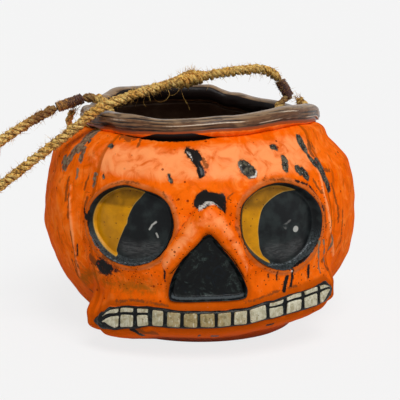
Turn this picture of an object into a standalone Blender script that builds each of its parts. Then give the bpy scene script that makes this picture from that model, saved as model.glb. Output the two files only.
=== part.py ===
"""Hand-built pottery jack-o'-lantern bucket with a rope handle.

The pot stands on its foot with the middle of the foot at the origin, +Z up, and its
face looks along -Y.  The sizes below are in millimetres, and angles are in degrees.  An angle
round the pot is 0 at the front and grows toward +X, the viewer's right.
"""
import math

import bmesh
import bpy
from mathutils import Matrix, Vector

MM = 0.001

# The thrown shell: foot, belly and neck
FOOT_RADIUS = 57.0
BELLY_RADIUS = 92.4
BELLY_HEIGHT = 75.0
NECK_RADIUS = 70.0
NECK_HEIGHT = 121.7
WALL = 8.0
FLOOR = 8.0
BELLY_FULLNESS = (2.5, 1.2)
SHOULDER_FULLNESS = (1.85, 0.61)

# The shoulder leans to the left, most at the middle one of three heights
SHOULDER_SKEW = 3.8
SKEW_HEIGHTS = (97.4, 113.2, 121.7)

# The pumpkin's lobes, which go round the pot from one side of the face to the other.
# They grow out of the foot up to one height, and fade out toward the neck between two more.
LOBES = 6
LOBE_RISE = 2.0
LOBE_ROUNDNESS = 0.7
LOBES_GROWN = 22.5
LOBES_FADE = (99.8, 118.0)

# The raised face, a fuller wall than the sides and the back
FACE_HALF_ANGLE = 50.0
FACE_RISE = 5.6
FACE_FULLNESS = (2.5, 0.8)
BROW_FULLNESS = (2.0, 0.8)
FACE_EDGE_STEEPNESS = 8

# The jaw stands forward round the mouth, between two angles, and falls away over a distance
JAW_RISE = 4.1
JAW_ENDS = (-45.0, 48.5)
JAW_SPREAD = 17.0

# The rolled lip, one coil of clay laid on the neck.  The wave lists how far the neck
# and the lip rise or dip at an angle, and the pot follows it above the height given.
RIM_HEIGHT = 10.5
RIM_WIDTH = 11.8
RIM_SQUARENESS = 0.8
WAVE_START = 90.0
RIM_WAVE = (
    (-165, 2.5), (-134, 3.0), (-121, 0.5), (-106, -3.8), (-86, -0.8), (-50, 0.4),
    (-19, -0.5), (10, 1.5), (43, 4.0), (65, 2.5), (90, -3.0), (116, -7.0),
    (140, -5.5), (158, -2.5), (172, 2.0),
)

# What lies between two pieces that touch
SEAT_GAP = 0.3
SURFACE_GAP = 0.45

# Eyes: outlines as (angle, height) on the face, and the dish that lines each socket
EYE_LEFT = (
    (-44.0, 83.0), (-39.5, 92.0), (-32.0, 97.5), (-24.0, 96.5), (-16.0, 92.0), (-12.7, 82.0),
    (-13.5, 71.0), (-18.0, 60.0), (-26.0, 54.5), (-34.0, 56.0), (-41.0, 63.0), (-45.0, 73.0),
)
EYE_RIGHT = (
    (9.8, 87.0), (14.5, 95.0), (21.0, 98.3), (28.0, 97.3), (35.0, 92.3), (39.7, 83.0),
    (40.6, 72.0), (38.0, 61.0), (31.5, 52.8), (24.0, 50.8), (15.5, 58.0), (10.0, 70.0),
)
EYE_DEPTH = 5.2
EYE_RIM_DEPTH = 0.5
EYE_FLATNESS = 6
DISH_WALL = 1.8

# Nose: the sunk three-cornered plate, and the coil bent over it, as rows of (outer angle,
# outer height, inner angle, inner height, rise) from its left foot to its right one
NOSE = (
    (-1.0, 72.0), (-5.6, 65.0), (-9.6, 57.0), (-12.4, 48.0), (-13.3, 40.0), (-11.5, 37.0),
    (-2.0, 36.5), (7.0, 37.0), (10.6, 39.0), (10.8, 43.5), (8.6, 52.0), (5.0, 61.0),
)
NOSE_DEPTH = 3.5
NOSE_PLATE = 2.0
BRIDGE = (
    (-17.4, 57.0, -14.4, 49.6, 1.2), (-16.0, 63.0, -12.2, 53.5, 3.0),
    (-12.9, 70.5, -7.9, 62.5, 4.6), (-9.3, 79.1, -4.4, 68.8, 5.8),
    (-5.5, 88.3, -2.6, 72.8, 6.6), (-0.6, 91.7, -1.1, 73.8, 7.0),
    (4.1, 86.0, 0.4, 71.8, 6.6), (6.8, 78.2, 3.0, 66.4, 5.6), (8.7, 72.5, 5.9, 61.0, 4.4),
    (10.9, 62.6, 9.4, 51.8, 2.8), (12.3, 57.3, 11.4, 46.1, 1.2),
)
BRIDGE_EDGE_SHARE = 0.25

# Mouth: the lip that carries the teeth, as (angle, middle height, half height).  Its front
# is flat over a share of that height, and the edges beside it are rounded.
MOUTH = (
    (-41.5, 18.8, 2.0), (-39.0, 19.8, 5.2), (-35.0, 22.2, 7.2), (-28.0, 24.4, 7.2),
    (-20.0, 25.8, 6.1), (-10.0, 25.2, 5.3), (0.0, 25.2, 5.1), (10.0, 26.0, 5.0),
    (20.0, 28.6, 5.6), (30.0, 31.0, 6.6), (38.0, 32.0, 6.9), (43.5, 32.8, 6.6), (46.8, 32.6, 3.0),
)
MOUTH_RISE = 2.0
MOUTH_FLAT = 0.84
MOUTH_ROUNDING = 0.9
MOUTH_EDGE = 0.6

# Teeth: the angles where one ends and the next starts, and shares of the lip's half height.
# An upper row shows where the mouth opens, at the left and at the right.
TOOTH_EDGES = (
    -38.5, -31.2, -25.5, -20.3, -15.3, -9.8, -4.4, 1.2, 6.5, 11.8, 18.5, 24.8, 32.0, 39.2, 45.4,
)
TOOTH_GAP = 1.7
TOOTH_RISE = 1.2
TOOTH_EDGE_RISE = 0.7
TOOTH_ROUNDING = 0.12
LOWER_TOOTH_BOTTOM = -0.68
UPPER_TOOTH_TOP = 0.78
UPPER_TOOTH_SHARE = 0.34
ROW_GAP_SHARE = 0.22
MOUTH_OPENS_LEFT = (-17.0, -23.0)
MOUTH_OPENS_RIGHT = (15.0, 22.0)

# Rope: eyes through two holes in the neck, bound with twine, and the long handle
ROPE_DIAMETER = 5.8
HOLE_DIAMETER = 9.6
HOLE_BELOW_CREST = 17.3
HOLE_CUT_LENGTH = 46.0
LEFT_HOLE_ANGLE = -107.0
RIGHT_HOLE_ANGLE = 118.0
CORE_DIAMETER = 3.6
CORE_TAPER = 4.0
TWINE_DIAMETER = 1.0
TWINE_GAP = 0.45
BINDING_MARGIN = (1.6, 0.5)
SPLICE_DIAMETER = 9.0
SPLICE_END_WALL = 0.5
SPLICE_ROUNDNESS = 0.6
SPLICE_LENGTH = 20.0
SPLICE_PLACE = 73.0

# The route of a rope eye round the lip, as (outward, up) from the lip's crest
EYE_ROUTE_LEFT = (
    (0.0, 4.0), (-6.8, 1.0), (-9.6, -5.0), (-9.4, -11.5), (-5.5, -16.3), (1.5, -17.3),
    (9.0, -17.2), (14.5, -15.8), (16.8, -11.8), (15.6, -7.2), (14.4, -4.6),
)
EYE_ROUTE_RIGHT = (
    (-4.6, 3.6), (-8.5, -0.8), (-9.7, -5.4), (-9.4, -11.5), (-5.5, -16.3), (1.5, -17.3),
    (9.0, -17.2), (14.5, -15.6), (16.6, -11.3), (14.4, -5.2), (10.6, -0.4), (7.2, 2.2),
)
# Each binding runs from the eye outward to where the handle starts
LEFT_BINDING = ((-70.5, 19.5, 132.6), (-86.0, 15.0, 127.8))
RIGHT_BINDING = ((58.0, 31.1, 130.9), (51.8, 31.0, 141.0))

# The handle's route: from the right eye over the mouth and the left of the lip, down to
# its bight on the table, and back up to the left eye
HANDLE_ROUTE = (
    (46.2, 28.5, 146.2), (39.0, 23.5, 149.0), (28.0, 15.5, 149.6), (13.3, 5.0, 149.2),
    (-4.5, -7.0, 147.6), (-21.0, -20.0, 145.6), (-36.0, -32.0, 143.0), (-50.0, -38.5, 139.2),
    (-62.0, -39.0, 134.0), (-76.0, -38.5, 122.6), (-90.0, -38.0, 111.8), (-104.0, -36.5, 101.0),
    (-119.0, -34.0, 89.0), (-145.0, -32.0, 67.5), (-172.0, -31.0, 44.0), (-194.0, -31.0, 23.5),
    (-210.0, -30.0, 9.6), (-224.0, -26.0, 3.6), (-236.0, -16.0, 3.2), (-238.5, -5.0, 3.2),
    (-231.0, 4.0, 4.0), (-216.0, 6.0, 14.0), (-200.0, 6.0, 33.0), (-182.0, 5.0, 54.0),
    (-162.0, 3.0, 74.5), (-141.0, 2.0, 93.5), (-120.0, 3.5, 109.0), (-104.0, 8.0, 119.2),
)
HANDLE_POINTS = 60
PIVOT_GAP = 0.9
PIVOT_TAPER = 4.0
PIVOT_SHARE = 0.3

# How finely the round shapes are divided
COLUMNS = 108
OUTER_ROWS = 21
ROW_CROWDING = 0.08
INNER_ROWS = 6
RIM_SIDES = 8
OUTLINE_POINTS = 24
BOWL_RINGS = 4
BOWL_RING_SPACING = 0.35
MOUTH_STEPS = 36
TUBE_SIDES = 8
HOLE_SIDES = 20
SPLICE_RINGS = 9
TWINE_LOOP_POINTS = 20

CREST_HEIGHT = NECK_HEIGHT + SEAT_GAP + RIM_HEIGHT
RIM_RADIUS = NECK_RADIUS - WALL / 2
FACE_SCALE = math.radians(1.0) * (BELLY_RADIUS + FACE_RISE)
JAW_RADIUS = BELLY_RADIUS + JAW_RISE
MOUTH_RADIUS = JAW_RADIUS + MOUTH_RISE
TWINE_PITCH = TWINE_DIAMETER + TWINE_GAP


def clear_scene():
    for thing in list(bpy.data.objects):
        bpy.data.objects.remove(thing, do_unlink=True)


def material(name, colour, roughness, coat=0.0):
    found = bpy.data.materials.get(name)
    if found:
        return found
    made = bpy.data.materials.new(name)
    made.use_nodes = True
    shader = made.node_tree.nodes["Principled BSDF"]
    shader.inputs["Base Color"].default_value = (*colour, 1.0)
    shader.inputs["Roughness"].default_value = roughness
    shader.inputs["Metallic"].default_value = 0.0
    shader.inputs["Coat Weight"].default_value = coat
    return made


def orange_glaze():
    return material("orange_glaze", (0.83, 0.18, 0.03), 0.45, 0.2)


def brown_glaze():
    return material("brown_glaze", (0.16, 0.10, 0.07), 0.25, 0.4)


def black_glaze():
    return material("black_glaze", (0.02, 0.022, 0.025), 0.3, 0.3)


def ivory_glaze():
    return material("ivory_glaze", (0.62, 0.55, 0.36), 0.4, 0.2)


def rope_fibre():
    return material("rope_fibre", (0.45, 0.28, 0.07), 0.9)


def tarred_twine():
    return material("tarred_twine", (0.05, 0.025, 0.015), 0.7)


def smoothstep(low, high, value):
    share = min(1.0, max(0.0, (value - low) / (high - low)))
    return share * share * (3.0 - 2.0 * share)


def spline(points, steps, closed=False):
    """Points of a Catmull-Rom curve, the given number of steps to each span."""
    count = len(points)
    spans = count if closed else count - 1
    found = []
    for index in range(spans):
        if closed:
            near = [points[(index + k) % count] for k in (-1, 0, 1, 2)]
        else:
            near = [points[min(count - 1, max(0, index + k))] for k in (-1, 0, 1, 2)]
        for step in range(steps):
            found.append(catmull(near, step / steps))
    if not closed:
        found.append(tuple(points[-1]))
    return found


def catmull(near, share):
    before, start, end, after = near
    values = []
    for a, b, c, d in zip(before, start, end, after):
        slope_in = (c - a) / 2
        slope_out = (d - b) / 2
        bend = 3 * (c - b) - 2 * slope_in - slope_out
        twist = 2 * (b - c) + slope_in + slope_out
        values.append(b + slope_in * share + bend * share ** 2 + twist * share ** 3)
    return tuple(values)


def evenly(points, count):
    """The same line, with count points at equal distances along it."""
    line = [Vector(point) for point in points]
    reach = [0.0]
    for first, second in zip(line, line[1:]):
        reach.append(reach[-1] + (second - first).length)
    found = []
    place = 0
    for index in range(count):
        wanted = reach[-1] * index / (count - 1)
        while place < len(line) - 2 and reach[place + 1] < wanted:
            place += 1
        share = (wanted - reach[place]) / (reach[place + 1] - reach[place])
        found.append(line[place].lerp(line[place + 1], min(1.0, share)))
    return found


def table_value(table, key, column=1):
    """A smooth value read from rows that start with rising keys."""
    for low, high in zip(table, table[1:]):
        if key <= high[0]:
            share = smoothstep(low[0], high[0], key)
            return low[column] + (high[column] - low[column]) * share
    return table[-1][column]


def rim_wave(angle):
    angle = (angle + 180.0) % 360.0 - 180.0
    last_angle, last_rise = RIM_WAVE[-1]
    first_angle, first_rise = RIM_WAVE[0]
    table = ((last_angle - 360.0, last_rise), *RIM_WAVE, (first_angle + 360.0, first_rise))
    return table_value(table, angle)


def thrown_radius(height, widest, below, above):
    """A wall that swells from the foot to its widest radius and draws in to the neck."""
    if height <= BELLY_HEIGHT:
        steep, round_off = below
        share = (1.0 - (1.0 - height / BELLY_HEIGHT) ** steep) ** round_off
        return FOOT_RADIUS + (widest - FOOT_RADIUS) * share
    steep, round_off = above
    share = min(1.0, (height - BELLY_HEIGHT) / (NECK_HEIGHT - BELLY_HEIGHT))
    return NECK_RADIUS + (widest - NECK_RADIUS) * (1.0 - share ** steep) ** round_off


def side_radius(height):
    """The plain thrown shape, without lobes or face."""
    return thrown_radius(height, BELLY_RADIUS, BELLY_FULLNESS, SHOULDER_FULLNESS)


def face_radius(height):
    """The fuller wall of the face."""
    return thrown_radius(height, BELLY_RADIUS + FACE_RISE, FACE_FULLNESS, BROW_FULLNESS)


def lobe_window(height):
    """1 on the belly, 0 at the foot and at the neck."""
    return smoothstep(0.0, LOBES_GROWN, height) * (1.0 - smoothstep(*LOBES_FADE, height))


def mouth_at(angle):
    """The middle height and the half height of the mouth at an angle."""
    return table_value(MOUTH, angle, 1), table_value(MOUTH, angle, 2)


def jaw_share(angle, height):
    """1 on the jaw's front, round the mouth, and 0 away from it."""
    middle, half = mouth_at(max(MOUTH[0][0], angle))
    beside = max(0.0, JAW_ENDS[0] - angle, angle - JAW_ENDS[1]) * FACE_SCALE
    above = max(0.0, abs(height - middle) - half)
    return 1.0 - smoothstep(0.0, JAW_SPREAD, math.hypot(beside, above))


def outer_radius(angle, height):
    angle = (angle + 180.0) % 360.0 - 180.0
    low, middle, high = SKEW_HEIGHTS
    bell = smoothstep(low, middle, height) * (1.0 - smoothstep(middle, high, height))
    radius = side_radius(height)
    share = abs(angle) / FACE_HALF_ANGLE
    if share < 1.0:
        radius += (face_radius(height) - radius) * (1.0 - share ** FACE_EDGE_STEEPNESS)
    else:
        turn = (abs(angle) - FACE_HALF_ANGLE) / (180.0 - FACE_HALF_ANGLE) * LOBES / 2
        lobe = abs(math.sin(math.pi * turn)) ** LOBE_ROUNDNESS
        radius += LOBE_RISE * lobe * lobe_window(height)
    radius -= SHOULDER_SKEW * bell * math.sin(math.radians(angle))
    return radius + (JAW_RADIUS - radius) * jaw_share(angle, height)


def on_pot(angle, height, radius):
    """The place at an angle, a height and a radius, lifted by the wave near the neck."""
    lift = rim_wave(angle) * smoothstep(WAVE_START, NECK_HEIGHT, height)
    turn = math.radians(angle)
    return Vector((radius * math.sin(turn), -radius * math.cos(turn), height + lift))


def make_object(name, points, faces, look, smooth=True):
    mesh = bpy.data.meshes.new(name)
    mesh.from_pydata([tuple(point * MM for point in place) for place in points], [], faces)
    shape = bmesh.new()
    shape.from_mesh(mesh)
    bmesh.ops.recalc_face_normals(shape, faces=shape.faces)
    shape.to_mesh(mesh)
    shape.free()
    if smooth:
        mesh.shade_smooth()
        mesh.set_sharp_from_angle(angle=math.radians(40.0))
    made = bpy.data.objects.new(name, mesh)
    bpy.context.scene.collection.objects.link(made)
    if look:
        mesh.materials.append(look)
    return made


def rings_to_faces(rings, around, wrap):
    """Quads between rings of points; with wrap, the last ring joins the first."""
    faces = []
    for ring in range(rings if wrap else rings - 1):
        upper = (ring + 1) % rings
        for side in range(around):
            after = (side + 1) % around
            faces.append((ring * around + side, ring * around + after,
                          upper * around + after, upper * around + side))
    return faces


def cut(target, cutter):
    cutter.hide_render = True
    cutter.display_type = "WIRE"
    boolean = target.modifiers.new(cutter.name, "BOOLEAN")
    boolean.operation = "DIFFERENCE"
    boolean.solver = "EXACT"
    boolean.object = cutter


def build_pot():
    """One shell: outside up from the foot, over the neck, and inside down to the floor."""
    rings = []
    for row in range(OUTER_ROWS + 1):
        share = row / OUTER_ROWS
        height = NECK_HEIGHT * (share - ROW_CROWDING * math.sin(2 * math.pi * share))
        rings.append([(height, None)] * COLUMNS)
    for row in range(INNER_ROWS + 1):
        height = NECK_HEIGHT + (FLOOR - NECK_HEIGHT) * row / INNER_ROWS
        rings.append([(height, side_radius(height) - WALL)] * COLUMNS)
    points = []
    for ring in rings:
        for column, (height, inner) in enumerate(ring):
            angle = 360.0 * column / COLUMNS
            radius = outer_radius(angle, height) if inner is None else inner
            points.append(on_pot(angle, height, radius))
    faces = rings_to_faces(len(rings), COLUMNS, False)
    faces.append(tuple(reversed(range(COLUMNS))))
    last = (len(rings) - 1) * COLUMNS
    faces.append(tuple(range(last, last + COLUMNS)))
    return make_object("pot_body", points, faces, orange_glaze())


def build_rim():
    """The coil of clay on the neck, thicker than the wall and flattened where it sits."""
    full = math.cos(math.pi / RIM_SIDES) ** RIM_SQUARENESS
    points = []
    for column in range(COLUMNS):
        angle = 360.0 * column / COLUMNS
        for side in range(RIM_SIDES):
            turn = 2 * math.pi * (side + 0.5) / RIM_SIDES
            across = math.copysign(abs(math.cos(turn)) ** RIM_SQUARENESS / full, math.cos(turn))
            along = math.copysign(abs(math.sin(turn)) ** RIM_SQUARENESS / full, math.sin(turn))
            place = on_pot(angle, NECK_HEIGHT, RIM_RADIUS + RIM_WIDTH / 2 * across)
            rise = SEAT_GAP + RIM_HEIGHT / 2 * (1.0 + along)
            points.append(place + Vector((0.0, 0.0, rise)))
    return make_object("rim_coil", points, rings_to_faces(COLUMNS, RIM_SIDES, True), brown_glaze())


def centre_of(outline):
    return tuple(sum(point[k] for point in outline) / len(outline) for k in (0, 1))


def patch(name, outline, back, front, look, grow=0.0):
    """A closed plate on the face inside an outline, between two radius functions.

    back and front take an angle, a height and a share, 0 in the middle and 1 at the edge.
    """
    middle = centre_of(outline)
    edge = evenly_closed(spline(outline, 6, closed=True), OUTLINE_POINTS)
    layers = []
    for surface in (front, back):
        layer = [on_pot(*middle, surface(*middle, 0.0))]
        for ring in range(1, BOWL_RINGS + 1):
            share = (ring / BOWL_RINGS) ** BOWL_RING_SPACING
            for angle, height in edge:
                reach = Vector(((angle - middle[0]) * FACE_SCALE, height - middle[1]))
                wide = (reach.length + grow) / reach.length * share
                spot = (middle[0] + (angle - middle[0]) * wide,
                        middle[1] + (height - middle[1]) * wide)
                layer.append(on_pot(*spot, surface(*spot, share)))
        layers.append(layer)
    count = len(layers[0])
    faces = []
    for layer in range(2):
        start = layer * count
        for side in range(OUTLINE_POINTS):
            after = (side + 1) % OUTLINE_POINTS
            faces.append((start, start + 1 + side, start + 1 + after))
            for ring in range(BOWL_RINGS - 1):
                low = start + 1 + ring * OUTLINE_POINTS
                high = low + OUTLINE_POINTS
                faces.append((low + side, high + side, high + after, low + after))
    rim = 1 + (BOWL_RINGS - 1) * OUTLINE_POINTS
    for side in range(OUTLINE_POINTS):
        after = (side + 1) % OUTLINE_POINTS
        faces.append((rim + side, rim + after, count + rim + after, count + rim + side))
    return make_object(name, layers[0] + layers[1], faces, look)


def evenly_closed(points, count):
    flat = [(angle * FACE_SCALE, height, 0.0) for angle, height in [*points, points[0]]]
    return [(place.x / FACE_SCALE, place.y) for place in evenly(flat, count + 1)[:-1]]


def build_eye(side, outline, pot):
    """A socket pressed into the face, and the dish that lines it."""
    def dish_front(angle, height, share):
        bowl = EYE_DEPTH * (1.0 - share ** EYE_FLATNESS)
        return outer_radius(angle, height) - EYE_RIM_DEPTH - bowl

    def dish_back(angle, height, share):
        return dish_front(angle, height, share) - DISH_WALL

    def socket_back(angle, height, share):
        return dish_back(angle, height, share) - SEAT_GAP

    def socket_front(angle, height, share):
        return outer_radius(angle, height) + EYE_DEPTH

    cut(pot, patch(f"cutter_eye_{side}", outline, socket_back, socket_front, None, SEAT_GAP))
    return patch(f"eye_dish_{side}", outline, dish_back, dish_front, black_glaze())


def build_nose(pot):
    def plate_front(angle, height, share):
        return outer_radius(angle, height) - NOSE_DEPTH

    def plate_back(angle, height, share):
        return plate_front(angle, height, share) - NOSE_PLATE

    def recess_back(angle, height, share):
        return plate_back(angle, height, share) - SEAT_GAP

    def recess_front(angle, height, share):
        return outer_radius(angle, height) + NOSE_DEPTH

    cut(pot, patch("cutter_nose", NOSE, recess_back, recess_front, None, SEAT_GAP))
    return patch("nose_plate", NOSE, plate_back, plate_front, black_glaze())


def strip(name, stations, shares, look):
    """A closed bar on the face: stations hold (angle, height, back, front) across it."""
    across = len(shares)
    points = []
    for station in stations:
        points += [on_pot(angle, height, front) for angle, height, back, front in station]
        points += [on_pot(angle, height, back) for angle, height, back, front in reversed(station)]
    around = 2 * across
    faces = rings_to_faces(len(stations), around, False)
    last = (len(stations) - 1) * around
    for share in range(across - 1):
        for start in (0, last):
            faces.append((start + share, start + share + 1,
                          start + around - 2 - share, start + around - 1 - share))
    return make_object(name, points, faces, look)


def build_bridge():
    """The coil bent over the nose, thick at its crest and thin at both feet."""
    shares = (-1.0, -0.93, -0.75, -0.4, 0.0, 0.4, 0.75, 0.93, 1.0)
    stations = []
    for outer_angle, outer_height, inner_angle, inner_height, rise in spline(BRIDGE, 3):
        station = []
        for share in shares:
            inward = (1.0 + share) / 2
            angle = outer_angle + (inner_angle - outer_angle) * inward
            height = outer_height + (inner_height - outer_height) * inward
            back = outer_radius(angle, height) + SURFACE_GAP
            bulge = BRIDGE_EDGE_SHARE + (1.0 - BRIDGE_EDGE_SHARE) * math.sqrt(1.0 - share * share)
            station.append((angle, height, back, back + rise * bulge))
        stations.append(station)
    return strip("nose_bridge", stations, shares, orange_glaze())


def build_mouth():
    """The raised lip across the jaw, flat where the teeth sit and rounded at its edges."""
    rounded = (1.0 + MOUTH_FLAT) / 2
    shares = (-1.0, -rounded, -MOUTH_FLAT, -0.5, -0.17, 0.17, 0.5, MOUTH_FLAT, rounded, 1.0)
    stations = []
    for index in range(MOUTH_STEPS + 1):
        angle = MOUTH[0][0] + (MOUTH[-1][0] - MOUTH[0][0]) * index / MOUTH_STEPS
        middle, half = mouth_at(angle)
        end = MOUTH_ROUNDING if index in (0, MOUTH_STEPS) else 0.0
        station = []
        for share in shares:
            height = middle + share * half
            back = outer_radius(angle, height) + SURFACE_GAP
            edge = max(0.0, (abs(share) - MOUTH_FLAT) / (1.0 - MOUTH_FLAT))
            front = MOUTH_RADIUS - max(end, MOUTH_ROUNDING * edge ** 2)
            station.append((angle, height, back, max(back + MOUTH_EDGE, front)))
        stations.append(station)
    return strip("mouth_lip", stations, shares, black_glaze())


def build_tooth(name, start, end, low, high):
    """A tooth on the lip, between two angles and two shares of the lip's half height."""
    shares = (0.0, TOOTH_ROUNDING, 1.0 - TOOTH_ROUNDING, 1.0)
    stations = []
    for place in shares:
        angle = start + (end - start) * place
        middle, half = mouth_at(angle)
        base = MOUTH_RADIUS + SEAT_GAP
        station = []
        for share in shares:
            height = middle + half * (low + (high - low) * share)
            edge = place in (0.0, 1.0) or share in (0.0, 1.0)
            station.append((angle, height, base, base + (TOOTH_EDGE_RISE if edge else TOOTH_RISE)))
        stations.append(station)
    return strip(name, stations, shares, ivory_glaze())


def build_teeth():
    """Fourteen lower teeth, and the upper ones where the mouth opens wider."""
    half_gap = TOOTH_GAP / 2 / FACE_SCALE
    upper = 0
    for index, (start, end) in enumerate(zip(TOOTH_EDGES, TOOTH_EDGES[1:])):
        middle = (start + end) / 2
        parted = max(smoothstep(*MOUTH_OPENS_LEFT, middle), smoothstep(*MOUTH_OPENS_RIGHT, middle))
        top = UPPER_TOOTH_TOP - (UPPER_TOOTH_SHARE + ROW_GAP_SHARE) * parted
        build_tooth(f"lower_tooth_{index + 1:02d}", start + half_gap, end - half_gap,
                    LOWER_TOOTH_BOTTOM, top)
        if parted > 0.5:
            upper += 1
            build_tooth(f"upper_tooth_{upper:02d}", start + half_gap, end - half_gap,
                        top + ROW_GAP_SHARE, UPPER_TOOTH_TOP)


def frames(line):
    """A direction and two square ones for each point of a line, turned as little as may be."""
    found = []
    side = None
    for index, place in enumerate(line):
        before = line[max(0, index - 1)]
        after = line[min(len(line) - 1, index + 1)]
        way = (after - before).normalized()
        if side is None:
            side = way.orthogonal().normalized()
        side = (side - way * side.dot(way)).normalized()
        found.append((way, side, way.cross(side)))
    return found


def tube(name, line, radii, look, sides=TUBE_SIDES):
    points = []
    for place, (way, side, other), radius in zip(line, frames(line), radii):
        for step in range(sides):
            turn = 2 * math.pi * step / sides
            points.append(place + (side * math.cos(turn) + other * math.sin(turn)) * radius)
    faces = rings_to_faces(len(line), sides, False)
    faces.append(tuple(range(sides)))
    last = (len(line) - 1) * sides
    faces.append(tuple(range(last, last + sides)))
    return make_object(name, points, faces, look)


def rim_spot(angle, outward, up):
    """A place beside the lip, from its crest at an angle."""
    place = on_pot(angle, NECK_HEIGHT, RIM_RADIUS + outward)
    return place + Vector((0.0, 0.0, CREST_HEIGHT - NECK_HEIGHT + up))


def build_rope_eye(side, hole_angle, route, binding):
    """Rope from the end of its binding, round the lip and back out through the hole."""
    near, far = (Vector(point) for point in binding)
    bound = [far, far.lerp(near, 0.5), near]
    loose = [rim_spot(hole_angle, outward, up) for outward, up in route]
    line = bound[:-1] + [Vector(point) for point in spline([near, *loose], 3)]
    radii = []
    for place in line:
        inside = (place - near).dot(far - near) > 0.0
        grown = 0.0 if inside else smoothstep(0.0, CORE_TAPER, (place - near).length)
        radii.append((CORE_DIAMETER + (ROPE_DIAMETER - CORE_DIAMETER) * grown) / 2)
    return tube(f"rope_eye_{side}", line, radii, rope_fibre())


def helix_line(binding):
    """The twine's route round the bound rope, with a straight run at each end."""
    near, far = (Vector(point) for point in binding)
    way = (far - near).normalized()
    across = way.orthogonal().normalized()
    other = way.cross(across)
    radius = CORE_DIAMETER / 2 + SEAT_GAP + TWINE_DIAMETER / 2
    near_margin, far_margin = BINDING_MARGIN
    length = (far - near).length - near_margin - far_margin
    turns = math.floor(length / TWINE_PITCH)
    start = near + way * (near_margin + (length - turns * TWINE_PITCH) / 2)
    line = []
    for step in range(turns * TWINE_LOOP_POINTS + 1):
        turn = 2 * math.pi * step / TWINE_LOOP_POINTS
        spoke = across * math.cos(turn) + other * math.sin(turn)
        line.append(start + spoke * radius + way * TWINE_PITCH * step / TWINE_LOOP_POINTS)
    for end, place in ((0, line[0] - line[1]), (-1, line[-1] - line[-2])):
        run = line[end] + place.normalized() * TWINE_DIAMETER
        line = [run, *line] if end == 0 else [*line, run]
    return line, turns


def least_gap(line, diameter):
    """The smallest space between two stretches of the line that lie a turn apart."""
    least = math.inf
    apart = TWINE_LOOP_POINTS // 2
    for index, place in enumerate(line):
        for later in line[index + apart:]:
            least = min(least, (later - place).length)
    return least - diameter


def build_binding(side, binding):
    line, turns = helix_line(binding)
    gap = least_gap(line, TWINE_DIAMETER)
    print(f"binding_{side}: {turns} turns, least gap to itself {gap:.2f} mm")
    return curve_tube(f"binding_{side}", line, [1.0] * len(line), TWINE_DIAMETER, 1, tarred_twine())


def curve_tube(name, line, shares, diameter, resolution, look):
    """A capped tube on a curve, whose radius follows the shares at its points."""
    curve = bpy.data.curves.new(name, "CURVE")
    curve.dimensions = "3D"
    curve.bevel_depth = diameter / 2 * MM
    curve.bevel_resolution = resolution
    curve.use_fill_caps = True
    run = curve.splines.new("POLY")
    run.points.add(len(line) - 1)
    for point, place, share in zip(run.points, line, shares):
        point.co = (*(place * MM), 1.0)
        point.radius = share
    curve.materials.append(look)
    made = bpy.data.objects.new(name, curve)
    bpy.context.scene.collection.objects.link(made)
    return made


def pivot(binding):
    """Where the handle bends, just past the end of a binding."""
    near, far = (Vector(point) for point in binding)
    return far + (far - near).normalized() * PIVOT_GAP


def handle_line():
    route = [pivot(RIGHT_BINDING), *HANDLE_ROUTE, pivot(LEFT_BINDING)]
    return evenly(spline(route, 8), HANDLE_POINTS)


def build_handle():
    line = handle_line()
    length = sum((after - place).length for place, after in zip(line, line[1:]))
    print(f"handle_rope: {length:.0f} mm long")
    first = line[0].lerp(line[1], PIVOT_TAPER / (line[1] - line[0]).length)
    last = line[-1].lerp(line[-2], PIVOT_TAPER / (line[-2] - line[-1]).length)
    route = [line[0], first, *line[1:-1], last, line[-1]]
    shares = [PIVOT_SHARE, *[1.0] * (len(route) - 2), PIVOT_SHARE]
    return curve_tube("handle_rope", route, shares, ROPE_DIAMETER, 2, rope_fibre())


def build_splice():
    """The thickened place where the rope's two ends are worked together."""
    line = handle_line()
    step = (line[1] - line[0]).length
    spots = []
    for index in range(SPLICE_RINGS):
        along = (index / (SPLICE_RINGS - 1) - 0.5) * SPLICE_LENGTH
        place = (SPLICE_PLACE + along) / step
        low = math.floor(place)
        spots.append(line[low].lerp(line[low + 1], place - low))
    bore = ROPE_DIAMETER / 2 + SEAT_GAP
    end = bore + SPLICE_END_WALL
    points = []
    for index, (place, (way, side, other)) in enumerate(zip(spots, frames(spots))):
        swell = math.sin(math.pi * (index + 0.5) / SPLICE_RINGS) ** SPLICE_ROUNDNESS
        outer = end + (SPLICE_DIAMETER / 2 - end) * swell
        for radius in (outer, bore):
            for turn in range(TUBE_SIDES):
                spin = 2 * math.pi * turn / TUBE_SIDES
                spoke = side * math.cos(spin) + other * math.sin(spin)
                points.append(place + spoke * radius)
    faces = []
    ring = 2 * TUBE_SIDES
    for index in range(SPLICE_RINGS - 1):
        for turn in range(TUBE_SIDES):
            after = (turn + 1) % TUBE_SIDES
            low = index * ring
            high = low + ring
            faces.append((low + turn, low + after, high + after, high + turn))
            faces.append((low + TUBE_SIDES + turn, high + TUBE_SIDES + turn,
                          high + TUBE_SIDES + after, low + TUBE_SIDES + after))
    for low in (0, (SPLICE_RINGS - 1) * ring):
        for turn in range(TUBE_SIDES):
            after = (turn + 1) % TUBE_SIDES
            faces.append((low + turn, low + TUBE_SIDES + turn,
                          low + TUBE_SIDES + after, low + after))
    return make_object("rope_splice", points, faces, rope_fibre())


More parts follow.
